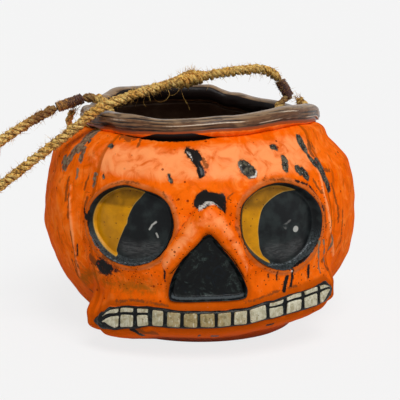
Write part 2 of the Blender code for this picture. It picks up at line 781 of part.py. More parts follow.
def cut_rope_hole(side, hole_angle, pot):
    """A round hole straight out through the neck, under the lip."""
    bpy.ops.mesh.primitive_cylinder_add(
        vertices=HOLE_SIDES, radius=HOLE_DIAMETER / 2 * MM, depth=HOLE_CUT_LENGTH * MM)
    cutter = bpy.context.object
    cutter.name = f"cutter_hole_{side}"
    place = rim_spot(hole_angle, 0.0, -HOLE_BELOW_CREST) * MM
    turn = Matrix.Rotation(math.radians(hole_angle), 4, "Z") @ Matrix.Rotation(math.pi / 2, 4, "X")
    cutter.matrix_world = Matrix.Translation(place) @ turn
    cut(pot, cutter)


def main():
    clear_scene()
    pot = build_pot()
    build_rim()
    build_eye("left", EYE_LEFT, pot)
    build_eye("right", EYE_RIGHT, pot)
    build_nose(pot)
    build_bridge()
    build_mouth()
    build_teeth()
    cut_rope_hole("left", LEFT_HOLE_ANGLE, pot)
    cut_rope_hole("right", RIGHT_HOLE_ANGLE, pot)
    build_rope_eye("left", LEFT_HOLE_ANGLE, EYE_ROUTE_LEFT, LEFT_BINDING)
    build_rope_eye("right", RIGHT_HOLE_ANGLE, EYE_ROUTE_RIGHT, RIGHT_BINDING)
    build_binding("left", LEFT_BINDING)
    build_binding("right", RIGHT_BINDING)
    handle = build_handle()
    splice = build_splice()
    hinge = bpy.data.objects.new("handle_hinge", None)
    hinge.location = pivot(LEFT_BINDING) * MM
    bpy.context.scene.collection.objects.link(hinge)
    bpy.context.view_layer.update()
    for piece in (handle, splice):
        piece.parent = hinge
        piece.matrix_parent_inverse = hinge.matrix_world.inverted()
    left = pivot(LEFT_BINDING)
    way = (pivot(RIGHT_BINDING) - left).normalized()
    print("handle hinge at", [round(value * MM, 5) for value in left],
          "along", [round(value, 5) for value in way])


main()
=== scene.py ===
import math

import bpy
import numpy as np
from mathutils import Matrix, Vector, noise


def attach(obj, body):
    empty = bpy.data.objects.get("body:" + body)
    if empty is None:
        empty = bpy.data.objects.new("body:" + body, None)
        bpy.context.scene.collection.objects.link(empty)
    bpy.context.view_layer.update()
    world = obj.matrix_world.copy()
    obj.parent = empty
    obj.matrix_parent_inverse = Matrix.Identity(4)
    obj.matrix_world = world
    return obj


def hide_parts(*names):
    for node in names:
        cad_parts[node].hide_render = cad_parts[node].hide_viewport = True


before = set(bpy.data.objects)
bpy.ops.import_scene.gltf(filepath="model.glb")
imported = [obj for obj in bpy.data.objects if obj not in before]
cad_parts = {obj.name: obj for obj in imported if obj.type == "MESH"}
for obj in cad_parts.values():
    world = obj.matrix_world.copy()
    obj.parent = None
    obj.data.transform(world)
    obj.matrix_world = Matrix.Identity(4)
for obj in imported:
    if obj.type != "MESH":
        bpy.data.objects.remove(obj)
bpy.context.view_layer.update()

MM = 0.001

# Camera: turned to the left of the face and looking down on it
CAMERA_TURN = -4.0
CAMERA_RISE = 12.0
CAMERA_DISTANCE = 900.0
CAMERA_TARGET = (0.0, 0.0, 72.3)
CAMERA_LENS = 133.0

# The thrown shell, in millimetres and degrees.  An angle round the pot is 0 at the front
# and grows toward +X.
FOOT_RADIUS = 57.0
BELLY_RADIUS = 92.4
BELLY_HEIGHT = 75.0
NECK_RADIUS = 70.0
NECK_HEIGHT = 121.7
WALL = 8.0
FLOOR = 8.0
FLOOR_ROUNDING = 9.0
FLOOR_ROUNDING_SHARE = 0.5
THROWN_RING_DEPTH = 0.12
THROWN_RING_TURN = 1.1
BELLY_FULLNESS = (2.5, 1.2)
SHOULDER_FULLNESS = (1.85, 0.61)
SHOULDER_SKEW = 3.8
SKEW_HEIGHTS = (97.4, 113.2, 121.7)
LOBES = 6
LOBE_RISE = 2.0
LOBE_ROUNDNESS = 0.7
LOBES_GROWN = 22.5
LOBES_FADE = (99.8, 118.0)
FACE_HALF_ANGLE = 50.0
FACE_RISE = 5.6
FACE_FULLNESS = (2.5, 0.8)
BROW_FULLNESS = (2.0, 0.8)
FACE_EDGE_STEEPNESS = 8
JAW_RISE = 4.1
JAW_ENDS = (-45.0, 48.5)
JAW_SPREAD = 17.0

# The rolled lip and its wave
RIM_HEIGHT = 10.5
RIM_WIDTH = 11.8
RIM_SQUARENESS = 0.8
WAVE_START = 90.0
RIM_WAVE = (
    (-188, 2.0), (-165, 2.5), (-134, 3.0), (-121, 0.5), (-106, -3.8), (-86, -0.8), (-50, 0.4),
    (-19, -0.5), (10, 1.5), (43, 4.0), (65, 2.5), (90, -3.0), (116, -7.0),
    (140, -5.5), (158, -2.5), (172, 2.0), (195, 2.5),
)
SEAT_GAP = 0.3

# Where the deep crease above the lip's lower roll lies round its section, as (angle, radians),
# and the grooves between the finger ridges, the crease last, as (radians above the crease,
# width, depth, how much the depth varies)
RIM_CREASE = (
    (-181, -0.75), (-95, -0.7), (-62, -0.6), (-46, -0.45), (-22, -0.2), (5, -0.05), (30, -0.2),
    (55, -0.45), (78, -0.75), (181, -0.75),
)
RIM_GROOVES = (
    (1.15, 0.1, 0.4, 0.8), (0.75, 0.09, 0.55, 0.9), (0.38, 0.09, 0.65, 0.8), (0.0, 0.13, 1.6, 0.4),
)
RIM_SIDES = 72
RIM_STEP = 0.6
RIM_SINKS = SEAT_GAP + 0.2
RIM_OUTSIDE = (-0.2, 0.3)
RIM_INSIDE = (-0.55, -0.9)
RIM_UNDERSIDE = (-0.86, -1.0)
RIM_CREST = (0.5, 0.95)
ORANGE_ANGLES = (-66.0, -52.0, 66.0, 80.0)
RUN_ANGLES = (-48.0, -22.0, -8.0, 12.0)
RUN_REACH = 0.9
LOWER_ROLL_RISE = 1.3
LOWER_ROLL_EDGE = (-0.05, -0.3)
LOWER_ROLL_END = (-1.5, -1.0)
POOLED_EDGE = (-0.1, -0.28)
ORANGE_EDGE = (-0.02, -0.26)
REDDISH_EDGES = (-0.34, -0.18, -0.1, -0.02)
GLEAM_LEVELS = (0.2, 0.56, 0.94)
GLEAM_WIDTH = 0.06
FOLD_ANGLE = -38.0
FOLD_SPREAD = 8.0
FOLD_RISE = 1.3
FOLD_LEVELS = (-1.0, 0.3)
HOLLOW_ANGLE = -51.0
HOLLOW_SPREAD = 5.0
HOLLOW_LEVEL = (-0.5, 0.45)

# Eyes: outlines as (angle, height), and the socket's depth and wall
EYE_LEFT = (
    (-44.0, 83.0), (-39.5, 92.0), (-32.0, 97.5), (-24.0, 96.5), (-16.0, 92.0), (-12.7, 82.0),
    (-13.5, 71.0), (-18.0, 60.0), (-26.0, 54.5), (-34.0, 56.0), (-41.0, 63.0), (-45.0, 73.0),
)
EYE_RIGHT = (
    (9.8, 87.0), (14.5, 95.0), (21.0, 98.3), (28.0, 97.3), (35.0, 92.3), (39.7, 83.0),
    (40.6, 72.0), (38.0, 61.0), (31.5, 52.8), (24.0, 50.8), (15.5, 58.0), (10.0, 70.0),
)
EYE_DEPTH = 5.2
EYE_WALL = (-0.8, 2.6)
EYE_RINGS = 43
EYE_AROUND = 220
BRIM_RISE = 0.9
BRIM_WIDTH = 1.6
DISH_OVERLAP = 0.45
DISH_RADIUS = 24.0
DISH_THICKNESS = 0.45
DISH_PROUD = 0.12
DISH_ROOM = 0.7
DISH_ROOM_EDGE = (-0.3, 0.8)
DISH_DENTS_START = (1.0, 4.0)
DISH_BRIM_SHARE = 0.9

# What is painted on the dishes: the yellow, darker at the top where a shadow is painted, the
# glints and other painted highlights, and grey brush marks
YELLOW_LEFT = (
    (-52.0, 102.0), (-22.0, 102.0), (-24.4, 93.5), (-27.1, 88.3), (-28.9, 82.7),
    (-30.4, 76.0), (-31.8, 71.0), (-33.3, 65.9), (-34.4, 61.0), (-35.4, 55.0), (-52.0, 50.0),
)
YELLOW_RIGHT = (
    (2.0, 104.0), (36.0, 104.0), (33.0, 94.4), (27.2, 93.2), (23.2, 91.4), (20.1, 88.8),
    (17.9, 85.3), (16.6, 80.0), (16.1, 74.1), (16.4, 68.8), (16.8, 63.9), (18.0, 59.3),
    (20.0, 53.0), (2.0, 48.0),
)
YELLOW_INSET_LEFT = 1.3
YELLOW_INSET_RIGHT = 1.5
YELLOW_SOFTNESS = 3.0
# Heights over which the yellow darkens into the painted shadow under the socket's top edge
SOCKET_SHADOW_HEIGHTS_LEFT = (83.5, 88.5)
SOCKET_SHADOW_HEIGHTS_RIGHT = (80.0, 92.0)
GLINTS_LEFT = (
    (((-19.0, 79.0), (-20.4, 77.3), (-21.4, 74.6)), 0.5),
    (((-18.9, 72.6), (-18.4, 70.6)), 0.5),
)
GLINTS_RIGHT = (
    (((31.1, 71.9), (31.3, 71.8)), 1.75),
)
ARCS_RIGHT = (
    (((26.8, 73.2), (26.9, 75.6), (28.9, 77.5)), 0.5),
)
HIGHLIGHT_LINE_LEFT = ((-36.5, 57.6), (-32.2, 55.0), (-25.9, 54.9), (-19.8, 57.6))
HIGHLIGHT_LINE_RIGHT = ((19.0, 54.2), (25.0, 52.4), (30.6, 53.6), (34.6, 58.0), (38.4, 63.7))
BRUSHED_LEFT = ((-30.2, 63.4), (-25.7, 61.1), (-19.4, 64.0))
BRUSHED_RIGHT = ((21.0, 62.0), (27.0, 59.0), (32.0, 62.0))
BRUSHED_REACH = (1.0, 7.0)
BRUSHED_FARTHEST = 9.0
HIGHLIGHT_LINE_HALF = 0.35
HIGHLIGHT_LINE_SOFTNESS = 1.0
GLINT_SOFTNESS = 0.5
ARC_SOFTNESS = 0.6
# Where the lower socket walls are painted paler: grey dry brushing, and painted light where the wall
# faces up
WALL_PAINT_EDGE = (1.6, 3.2)
WALL_PAINT_HEIGHTS = (74.0, 62.0)

# Nose: the sunk plate, and the coil over it as (outer angle, outer height, inner angle,
# inner height, rise)
NOSE = (
    (-1.3, 73.0), (-7.4, 63.5), (-11.5, 53.4), (-13.6, 45.0), (-14.0, 38.5), (-12.0, 35.7),
    (-1.1, 35.9), (9.7, 36.5), (11.6, 39.5), (11.2, 44.0), (8.8, 52.0), (5.0, 61.5), (1.8, 68.0),
)
NOSE_DEPTH = 3.5
NOSE_WALL = (-0.6, 1.7)
NOSE_LIP_RISE = 1.0
NOSE_LIP_HEIGHTS = (44.0, 38.0)
NOSE_LIP_PLACE = 0.2
NOSE_LIP_WIDTH = 1.2
NOSE_DENTS_START = (0.5, 3.0)
NOSE_HIGHLIGHT_PLACE = 0.9
NOSE_HIGHLIGHT_WIDTH = 0.7
NOSE_HIGHLIGHT_HEIGHTS = (42.0, 37.0)
NOSE_RINGS = 35
NOSE_AROUND = 180
NOSE_OVERLAP_SHARE = 0.03
NOSE_THICKNESS = 0.5
NOSE_PROUD = 0.15
BRIDGE = (
    (-17.4, 57.0, -14.4, 49.6, 1.2), (-16.0, 63.0, -12.2, 53.5, 3.0),
    (-12.9, 70.5, -7.9, 62.5, 4.6), (-9.3, 79.1, -4.4, 68.8, 5.8),
    (-5.5, 88.3, -2.6, 72.8, 6.6), (-0.6, 91.7, -1.1, 73.8, 7.0),
    (4.1, 86.0, 0.4, 71.8, 6.6), (6.8, 78.2, 3.0, 66.4, 5.6), (8.7, 72.5, 5.9, 61.0, 4.4),
    (10.9, 62.6, 9.4, 51.8, 2.8), (12.3, 57.3, 11.4, 46.1, 1.2),
)
BRIDGE_SQUARENESS = 2.3
BRIDGE_CLOSES = 9.0
BRIDGE_COLUMNS = 31
BRIDGE_SINKS = (0.5, 1.6)

# Mouth as (angle, middle height, half height), with its two pointed ends
MOUTH = (
    (-41.5, 18.8, 2.0), (-39.0, 19.8, 5.2), (-35.0, 22.2, 7.2), (-28.0, 24.4, 7.2),
    (-20.0, 25.8, 6.1), (-10.0, 25.2, 5.3), (0.0, 25.2, 5.1), (10.0, 26.0, 5.0),
    (20.0, 28.6, 5.6), (30.0, 31.0, 6.6), (38.0, 32.0, 6.9), (43.5, 32.8, 6.6), (46.8, 32.6, 3.0),
)
MOUTH_TIPS = ((-42.6, 18.4, 0.4), (47.8, 32.5, 0.5))
MOUTH_RISE = 1.7
MOUTH_ROUNDNESS = 6
MOUTH_SINKS = (0.3, 1.4)
MOUTH_COLUMNS = 240
MOUTH_ROWS = 27
MOUTH_TAPER = 4.0
TOOTH_EDGES = (
    -38.5, -31.2, -25.5, -20.3, -15.3, -9.8, -4.4, 1.2, 6.5, 11.8, 18.5, 24.8, 32.0, 39.2, 45.4,
)
TOOTH_GAPS = (1.5, 1.0, 2.3, 2.3, 2.1, 1.8, 1.4, 1.6, 1.7, 1.6, 1.9, 2.3, 2.2, 2.2, 1.8)
MOUTH_LINES = (1.7, 1.0)
PINCH_REACH = 0.75
TOOTH_SQUARENESS = 0.2
TOOTH_RISE = 1.0
TOOTH_SINKS = 0.8
TOOTH_SIDES = 64
TOOTH_LEAN = 0.07
TOOTH_BLUNTNESS = 0.08
TOOTH_SWELL = 0.2
TOOTH_DOME = 0.05
PINCHED_SHARE = 0.12
STAINED_TEETH = (5.5, 2.6)
STAIN_SHARES = (0.25, 0.75)
LOWER_TOOTH_BOTTOM = -0.74
UPPER_TOOTH_TOP = 0.8
UPPER_TOOTH_SHARE = 0.34
ROW_GAP_SHARE = 0.2
MOUTH_OPENS_LEFT = (-17.0, -23.0)
MOUTH_OPENS_RIGHT = (15.0, 22.0)

# A tooth's section from near its middle out, as (reach, share of its rise, how dark)
TOOTH_SECTION = (
    (0.3, 1.0, 0.0), (0.55, 1.0, 0.0), (0.75, 0.97, 0.1), (0.88, 0.9, 0.3), (0.95, 0.7, 0.6),
    (1.0, 0.25, 1.0), (1.0, 0.0, 1.0),
)

# Rope, its bindings and its routes
ROPE_DIAMETER = 5.8
ROPE_PITCH = 12.5
ROPE_CREASE = 0.54
ROPE_STEP = 0.75
ROPE_EYE_STEP = 0.8
HANDLE_END_SHARE = 0.72
END_TAPER = 4.0
STRAND_POINTS = 11
HOLE_DIAMETER = 9.6
HOLE_BELOW_CREST = 17.3
HOLE_CUT_LENGTH = 46.0
HOLE_SIDES = 40
LEFT_HOLE_ANGLE = -107.0
RIGHT_HOLE_ANGLE = 118.0
CORE_DIAMETER = 4.2
CORE_TAPER = 4.0
TWINE_DIAMETER = 1.15
TWINE_PITCH = 1.2
TWINE_MARGIN = 0.3
TWINE_CLEARANCE = 0.1
TWINE_WAVER = 0.12
TWINE_WAVER_TURN = 0.37
TWINE_STEPS = 20
TWINE_SIDES = 8
SPLICE_DIAMETER = 9.4
SPLICE_END_DIAMETER = 6.4
SPLICE_ROWS = 30
SPLICE_LENGTH = 20.0
SPLICE_PLACE = 73.0
SPLICE_PITCH = 11.0
EYE_ROUTE_LEFT = (
    (0.0, 4.0), (-6.8, 1.0), (-9.6, -5.0), (-9.4, -11.5), (-5.5, -16.3), (1.5, -17.3),
    (9.0, -17.2), (14.5, -15.8), (16.8, -11.8), (15.6, -7.2), (14.4, -4.6),
)
EYE_ROUTE_RIGHT = (
    (-4.6, 3.6), (-8.5, -0.8), (-9.7, -5.4), (-9.4, -11.5), (-5.5, -16.3), (1.5, -17.3),
    (9.0, -17.2), (14.5, -15.6), (16.6, -11.3), (14.4, -5.2), (10.6, -0.4), (7.2, 2.2),
)
LEFT_BINDING = ((-70.5, 19.5, 132.6), (-86.0, 15.0, 127.8))
RIGHT_BINDING = ((58.0, 31.1, 130.9), (51.8, 31.0, 141.0))
HANDLE_ROUTE = (
    (46.2, 28.5, 146.2), (39.0, 23.5, 149.0), (28.0, 15.5, 149.6), (13.3, 5.0, 149.2),
    (-4.5, -7.0, 147.6), (-21.0, -20.0, 145.6), (-36.0, -32.0, 143.0), (-50.0, -38.5, 139.2),
    (-62.0, -39.0, 134.0), (-76.0, -38.5, 122.6), (-90.0, -38.0, 111.8), (-104.0, -36.5, 101.0),
    (-119.0, -34.0, 89.0), (-145.0, -32.0, 67.5), (-172.0, -31.0, 44.0), (-194.0, -31.0, 23.5),
    (-210.0, -30.0, 9.6), (-224.0, -26.0, 3.6), (-236.0, -16.0, 3.2), (-238.5, -5.0, 3.2),
    (-231.0, 4.0, 4.0), (-216.0, 6.0, 14.0), (-200.0, 6.0, 33.0), (-182.0, 5.0, 54.0),
    (-162.0, 3.0, 74.5), (-141.0, 2.0, 93.5), (-120.0, 3.5, 109.0), (-104.0, 8.0, 119.2),
)
PIVOT_GAP = 0.9
STAIN_REACH = (8.0, 34.0)
EYE_STAIN_REACH = (4.0, 14.0)

# Loose hairs as (how many, longest, half width, straight parts)
HANDLE_FUZZ = (2300, 3.2, 0.18, 3)
HANDLE_HAIRS = (260, 6.0, 0.12, 5)
EYE_HAIRS = (40, 4.0, 0.12, 5)
TWINE_HAIRS = (90, 2.6, 0.16, 3)
HAIRS_START = 9.0
HAIR_WILDNESS = 0.8
HAIR_LENGTHS = (0.35, 1.0)
HAIR_STANDS = (0.3, 1.0)
HAIR_SCATTER = 0.3
HAIR_TAPER = 0.85
HAIR_ROOT = 0.85
STRAY_TAPER = 0.7
TUFT_HAIRS = 60
TUFT_LENGTH = 6.5
TUFT_ROWS = (8, 24)
TUFT_RISE = 3.2
TUFT_SPREAD = 0.35
FRAY_HAIRS = 46
FRAY_LENGTH = 6.0
FRAY_WIDTH = 1.2
FRAY_SPREAD = 0.4
END_HAIR_WIDTH = 0.2
END_HAIR_WILDNESS = 0.4
STRAY_THICKNESS = 0.28
STRAY_FIBRES = (
    ((-9.5, -11.5, 146.0), (-11.8, -12.8, 142.0), (-10.6, -13.6, 137.0), (-8.0, -14.0, 132.5),
     (-7.2, -14.4, 129.8)),
    ((-21.0, -20.5, 144.0), (-19.4, -22.0, 140.4), (-21.8, -22.8, 137.0), (-26.0, -23.4, 136.2),
     (-29.0, -24.0, 139.0)),
    ((-13.0, -14.5, 145.5), (-13.8, -15.6, 141.5), (-17.0, -16.5, 139.0), (-20.5, -17.5, 139.6)),
    ((-33.0, -30.0, 142.0), (-35.0, -31.5, 137.6), (-33.4, -32.0, 134.4)),
    ((2.5, -3.0, 147.5), (4.8, -4.5, 143.4), (3.4, -5.2, 140.2)),
    ((-2.0, -6.0, 149.0), (-5.0, -7.0, 153.0), (-3.2, -7.4, 155.6)),
)

# Marks in the glaze of the pot: brush strokes as (points, half width), and patches as outlines
CREASES = (
    (((-13.8, 62.5), (-15.4, 57.0), (-15.7, 51.9), (-15.9, 45.9)), 0.5),
    (((6.0, 75.6), (8.4, 70.3), (10.1, 65.0)), 0.5),
)
BLACK_STROKES = CREASES + (
    (((26.4, 46.0), (25.6, 43.1), (25.0, 38.8)), 1.2),
    (((28.2, 51.5), (28.3, 45.4), (27.4, 40.6)), 0.6),
    (((35.3, 50.4), (35.3, 43.7)), 0.9),
    (((22.3, 50.3), (22.5, 45.0)), 0.4),
    (((19.4, 49.0), (19.5, 45.5)), 0.3),
    (((-27.3, 17.5), (-25.4, 16.0), (-24.1, 13.5)), 1.1),
    (((-47.6, 81.0), (-44.9, 77.3), (-43.6, 74.5)), 1.5),
    (((31.0, 98.8), (36.5, 95.6), (39.8, 89.0)), 0.5),
    (((41.4, 84.0), (41.7, 81.0)), 0.9),
    (((0.4, 13.4), (2.4, 13.3)), 0.9),
    (((-4.2, 14.8), (-4.6, 13.4)), 0.6),
    (((19.4, 19.0), (21.4, 19.6)), 0.6),
    (((28.0, 17.3), (29.2, 17.7)), 0.5),
    (((-53.2, 59.5), (-54.4, 52.4)), 0.4),
)
CHIP_STROKES = (
    (((-56.2, 117.4), (-55.0, 116.4)), 0.8),
    (((-43.3, 116.6), (-41.5, 116.2)), 0.9),
    (((-40.9, 102.0), (-40.2, 100.4)), 0.7),
    (((26.6, 114.6), (28.4, 114.0)), 1.3),
    (((-15.2, 104.6), (-14.6, 103.0), (-13.9, 100.9)), 0.95),
    (((29.8, 108.6), (29.3, 106.8), (28.7, 105.0)), 2.0),
    (((43.0, 114.4), (43.4, 112.0)), 3.4),
    (((43.6, 106.9), (44.5, 103.8)), 1.8),
    (((47.0, 101.8), (47.4, 99.0)), 4.6),
    (((47.4, 99.0), (48.6, 94.6), (50.0, 91.0)), 3.0),
    (((34.2, 103.4), (34.9, 102.4)), 2.1),
    (((36.4, 101.6), (36.9, 100.0)), 2.4),
)
FOREHEAD_PATCH = (
    (-10.4, 117.4), (-8.8, 118.2), (-6.6, 117.0), (-4.4, 115.6), (-3.2, 112.8), (-4.0, 110.5),
    (-2.7, 108.1), (-2.6, 104.2), (-4.4, 103.4), (-5.3, 108.2), (-7.6, 112.2), (-9.6, 115.1),
)
BLOB_PATCH = (
    (10.2, 108.4), (11.2, 110.6), (13.2, 110.6), (15.4, 108.2), (16.8, 104.6), (14.9, 101.8),
    (12.0, 103.4), (10.6, 106.0),
)
# Painted highlights on the glossy black patches and on one black stroke
GLINT_STROKES = (
    (((14.2, 102.8), (15.8, 102.8), (16.8, 104.8)), 0.5),
    (((-9.4, 116.4), (-7.8, 114.8), (-6.9, 112.2)), 0.35),
    (((27.5, 49.6), (27.9, 49.0)), 0.45),
)
GREY_STROKES = (
    (((-61.0, 120.5), (-58.6, 117.4), (-58.4, 113.9)), 4.0),
    (((-58.6, 113.9), (-60.9, 111.4), (-62.2, 106.8), (-64.6, 101.7)), 2.9),
    (((-58.6, 113.9), (-54.8, 112.4), (-55.0, 107.6)), 2.1),
    (((-66.2, 106.5), (-66.6, 103.4)), 1.6),
    (((-44.8, 101.0), (-44.6, 96.2)), 1.7),
    (((-55.7, 101.3), (-55.5, 96.9)), 0.9),
    (((39.1, 64.3), (40.6, 54.3), (41.3, 44.7)), 0.7),
    (((42.9, 63.1), (44.8, 54.0), (46.1, 48.7)), 0.8),
    (((47.8, 71.8), (50.9, 60.0), (50.2, 54.1)), 0.9),
)
BROWN_STROKES = (
    (((-65.6, 107.5), (-63.8, 101.0)), 1.1),
    (((-60.0, 96.0), (-59.0, 84.0)), 1.0),
    (((-57.4, 88.0), (-57.0, 74.0)), 0.8),
    (((-42.0, 121.2), (-37.5, 120.2), (-34.0, 121.2)), 1.1),
    (((48.6, 112.8), (47.0, 110.4), (46.2, 107.6)), 1.5),
    (((50.6, 111.8), (50.4, 110.4)), 0.9),
    (((-31.6, 121.4), (-30.6, 118.2)), 1.0),
    (((-27.0, 18.6), (-22.0, 15.6), (-19.0, 15.6)), 1.4),
    (((-33.0, 32.4), (-28.0, 34.2), (-21.0, 34.2), (-15.0, 32.6)), 0.6),
    (((11.2, 34.2), (17.2, 36.2), (23.1, 39.0), (30.0, 40.6)), 0.5),
    (((-35.4, 98.4), (-30.7, 100.3), (-25.5, 99.8)), 0.4),
    (((18.2, 101.2), (25.9, 100.2), (30.6, 97.4)), 0.4),
    (((-8.2, 81.0), (-10.6, 75.0), (-12.8, 68.6)), 0.45),
    (((7.3, 78.4), (9.9, 70.4)), 0.45),
    (((38.9, 84.0), (40.6, 77.8)), 0.6),
    (((-44.4, 54.6), (-39.5, 51.4)), 2.4),
    (((-38.0, 57.2), (-34.0, 55.6)), 1.2),
    (((-57.2, 47.1), (-58.6, 39.0)), 0.7),
    (((-16.4, 95.6), (-14.9, 93.0)), 0.5),
    (((5.0, 93.0), (8.0, 96.6)), 0.4),
    (((-48.8, 100.0), (-50.2, 92.0)), 0.8),
    (((-46.4, 88.0), (-48.0, 80.0)), 1.1),
    (((-56.2, 66.0), (-55.4, 44.0)), 0.7),
    (((-59.0, 48.0), (-59.3, 37.5)), 0.8),
    (((-54.4, 30.5), (-51.4, 24.8)), 0.8),
    (((-2.8, 112.0), (-1.4, 108.6)), 1.1),
    (((43.6, 50.5), (45.8, 51.0), (47.8, 43.3)), 0.9),
    (((39.6, 98.0), (42.6, 90.0)), 0.8),
    (((42.4, 84.0), (43.6, 70.0)), 0.8),
    (((52.8, 92.0), (54.0, 70.0)), 0.9),
    (((57.0, 76.0), (58.0, 56.0)), 0.7),
    (((49.0, 100.5), (53.5, 99.0)), 0.7),
)
CHEEK_SMUDGE = (
    (-40.8, 56.0), (-37.3, 55.6), (-34.7, 53.2), (-31.6, 49.6), (-34.5, 48.2), (-38.6, 44.8),
    (-42.0, 49.1),
)
OLIVE_WASH = (
    (-46.0, 50.0), (-38.0, 46.0), (-26.0, 49.0), (-18.0, 46.0), (-17.0, 38.0), (-30.0, 35.0),
    (-46.0, 38.0), (-56.0, 28.0), (-60.0, 40.0),
)
COIL_PATCH = (
    (-6.0, 89.4), (-5.0, 95.0), (-2.6, 97.6), (0.3, 95.8), (4.2, 95.0), (4.6, 90.0), (4.0, 85.6),
    (2.4, 88.4), (-0.4, 90.8), (-3.4, 88.4),
)
COIL_SHINE = ((-4.2, 88.6), (-1.6, 91.4), (1.4, 91.0), (3.6, 88.2))

# Ridges where the face meets the sides, as (angle, height) lines
FACE_EDGES = (
    ((-57.4, 92.0), (-55.6, 76.0), (-54.9, 61.4), (-55.6, 47.7), (-57.0, 38.0)),
    ((44.3, 101.1), (43.4, 88.9), (46.5, 70.5), (54.0, 50.0)),
)
FACE_EDGE_RISE = 0.9
FACE_EDGE_WIDTH = 1.5

# How deep or proud the marks in the clay are, and how far their slopes reach; those of a
# crease and a chip are shares of the stroke's half width
CREASE_DEPTH = 0.6
CREASE_SLOPE = 2.6
CHIP_DEPTH = 0.4
CHIP_SLOPE = (0.6, 1.1)
PATCH_RISE = 0.45
PATCH_SLOPE = (-0.2, 1.4)
STREAK_STRETCH = (1.0, 1.0, 0.2)

# Dents in each surface as (size, seed, depth)
DENTS = {
    "wall": ((22.0, 1, 1.2), (8.0, 2, 0.55)),
    "wall streaks": ((4.0, 3, 0.22),),
    "inside": ((16.0, 4, 0.5),),
    "lip": ((12.0, 8, 0.45), (4.5, 6, 0.16)),
    "lip grooves": ((24.0, 7, 0.12),),
    "dish": ((8.0, 11, 0.3),),
    "nose": ((7.0, 12, 0.5),),
    "coil": ((4.0, 14, 0.2),),
    "coil thickness": ((9.0, 13, 0.12),),
    "band": ((5.0, 15, 0.25),),
    "band paint": ((6.0, 21, 0.45),),
    "tooth": ((2.6, 16, 0.22),),
    "rope": ((3.5, 5, 0.65), (1.4, 17, 0.9)),
    "rope lay": ((7.0, 18, 0.09),),
    "twine": ((1.9, 19, 0.45),),
}

# The heights at which the wall's dents start and end, and how much calmer they are in a recess
DENTS_GROW = (0.0, 8.0)
DENTS_FADE = (116.0, 121.0)
RECESS_CALM = 0.85
RECESS_CALM_REACH = (0.0, 4.0)

# How far paint laps over the edge of a recess, and how soft the edges of the paint are
PAINT_LAP = 0.3
RECESS_SOFTNESS = 0.8
MOUTH_SOFTNESS = 0.5
MOUTH_PAINT_ENDS = (-3.0, 4.0)
PATCH_SOFTNESS = 1.5
RUN_SOFTNESS = 0.5
SMUDGE_INSET = 0.6
SMUDGE_SOFTNESS = 5.0
OLIVE_SOFTNESS = 7.0
STROKE_SOFTNESS = {"black": 1.1, "chip": 1.1, "grey": 1.8, "brown": 1.6, "glint": 0.6}

# Where the orange changes: painted highlight on the brow and round the eyes, darker orange round
# the recesses, and painted shade low down.  Heights, angles to either side of the front, and
# millimetres inside a recess
BROW_HEIGHTS = (97.0, 106.0, 114.0, 122.0)
BROW_SIDES = (62.0, 35.0)
PAINTED_HIGHLIGHT_RING = 2.0
PAINTED_HIGHLIGHT_WIDTH = 1.6
RECESS_DARKENING_REACH = (-6.0, -0.5)
SIDES_START = (40.0, 54.0)
LOW_SHADE_HEIGHTS = (58.0, 16.0)
SPECKED_HEIGHTS = (36.0, 44.0, 88.0, 100.0)
SPECKED_SIDES = (56.0, 44.0)

# The table top, and lamps as (name, place, spread in degrees, strength)
TABLE_HALF = 60000.0
TABLE_DROP = 0.2
TABLE_GLOW = 0.85
PALE = (243, 243, 243)
SOFT_LIGHT = 0.22
LAMPS = (
    ("key", (120.0, -560.0, 900.0), 30.0, 2.3),
    ("fill", (800.0, -600.0, 300.0), 60.0, 0.35),
)

# How finely the shell is divided: degrees in the face and behind it, and rows
FACE_REACH = 72.0
FACE_STEP = 0.42
BACK_STEP = 1.7
OUTER_ROWS = 200
INNER_ROWS = 60
FLOOR_ROWS = 12
ROW_CROWDING = 0.06

CREST_HEIGHT = NECK_HEIGHT + SEAT_GAP + RIM_HEIGHT
RIM_RADIUS = NECK_RADIUS - WALL / 2
FACE_SCALE = math.radians(1.0) * (BELLY_RADIUS + FACE_RISE)
JAW_RADIUS = BELLY_RADIUS + JAW_RISE
MOUTH_LINE = (MOUTH_TIPS[0], *MOUTH, MOUTH_TIPS[1])
OUTLINE_REACH = 12.0
THIRDS = 2 * np.pi * np.arange(3) / 3

chance = np.random.default_rng(31)


def smoothstep(low, high, value):
    share = np.clip((value - low) / (high - low), 0.0, 1.0)
    return share * share * (3.0 - 2.0 * share)


def between(bounds, value):
    """1 between the two middle bounds and 0 outside the outer two."""
    low, grown, full, high = bounds
    return smoothstep(low, grown, value) * smoothstep(high, full, value)


def hump(distance, width):
    """1 at no distance, falling softly to 0 on both sides."""
    return np.exp(-(distance / width) ** 2)


def unit(vectors):
    """The same directions, each of length 1."""
    return vectors / np.linalg.norm(vectors, axis=-1, keepdims=True)


def wrapped(angle):
    """The same angles, from -180 to 180."""
    return (np.asarray(angle, dtype=float) + 180.0) % 360.0 - 180.0


def squared_round(count, power):
    """A closed outline of radius 1 as (across, up), squarer the smaller the power is."""
    turn = 2 * np.pi * np.arange(count) / count
    return [np.sign(wave) * np.abs(wave) ** power for wave in (np.cos(turn), np.sin(turn))]


def spline(points, steps, closed=False):
    """Points of a smooth curve through the given ones."""
    spots = np.array(points, dtype=float)
    count = len(spots)
    found = []
    for index in range(count if closed else count - 1):
        near = index + np.arange(-1, 3)
        near = near % count if closed else np.clip(near, 0, count - 1)
        before, start, end, after = spots[near]
        slope_in = (end - before) / 2
        slope_out = (after - start) / 2
        bend = 3 * (end - start) - 2 * slope_in - slope_out
        twist = 2 * (start - end) + slope_in + slope_out
        for step in range(steps):
            share = step / steps
            found.append(start + slope_in * share + bend * share ** 2 + twist * share ** 3)
    if not closed:
        found.append(spots[-1])
    return np.array(found)


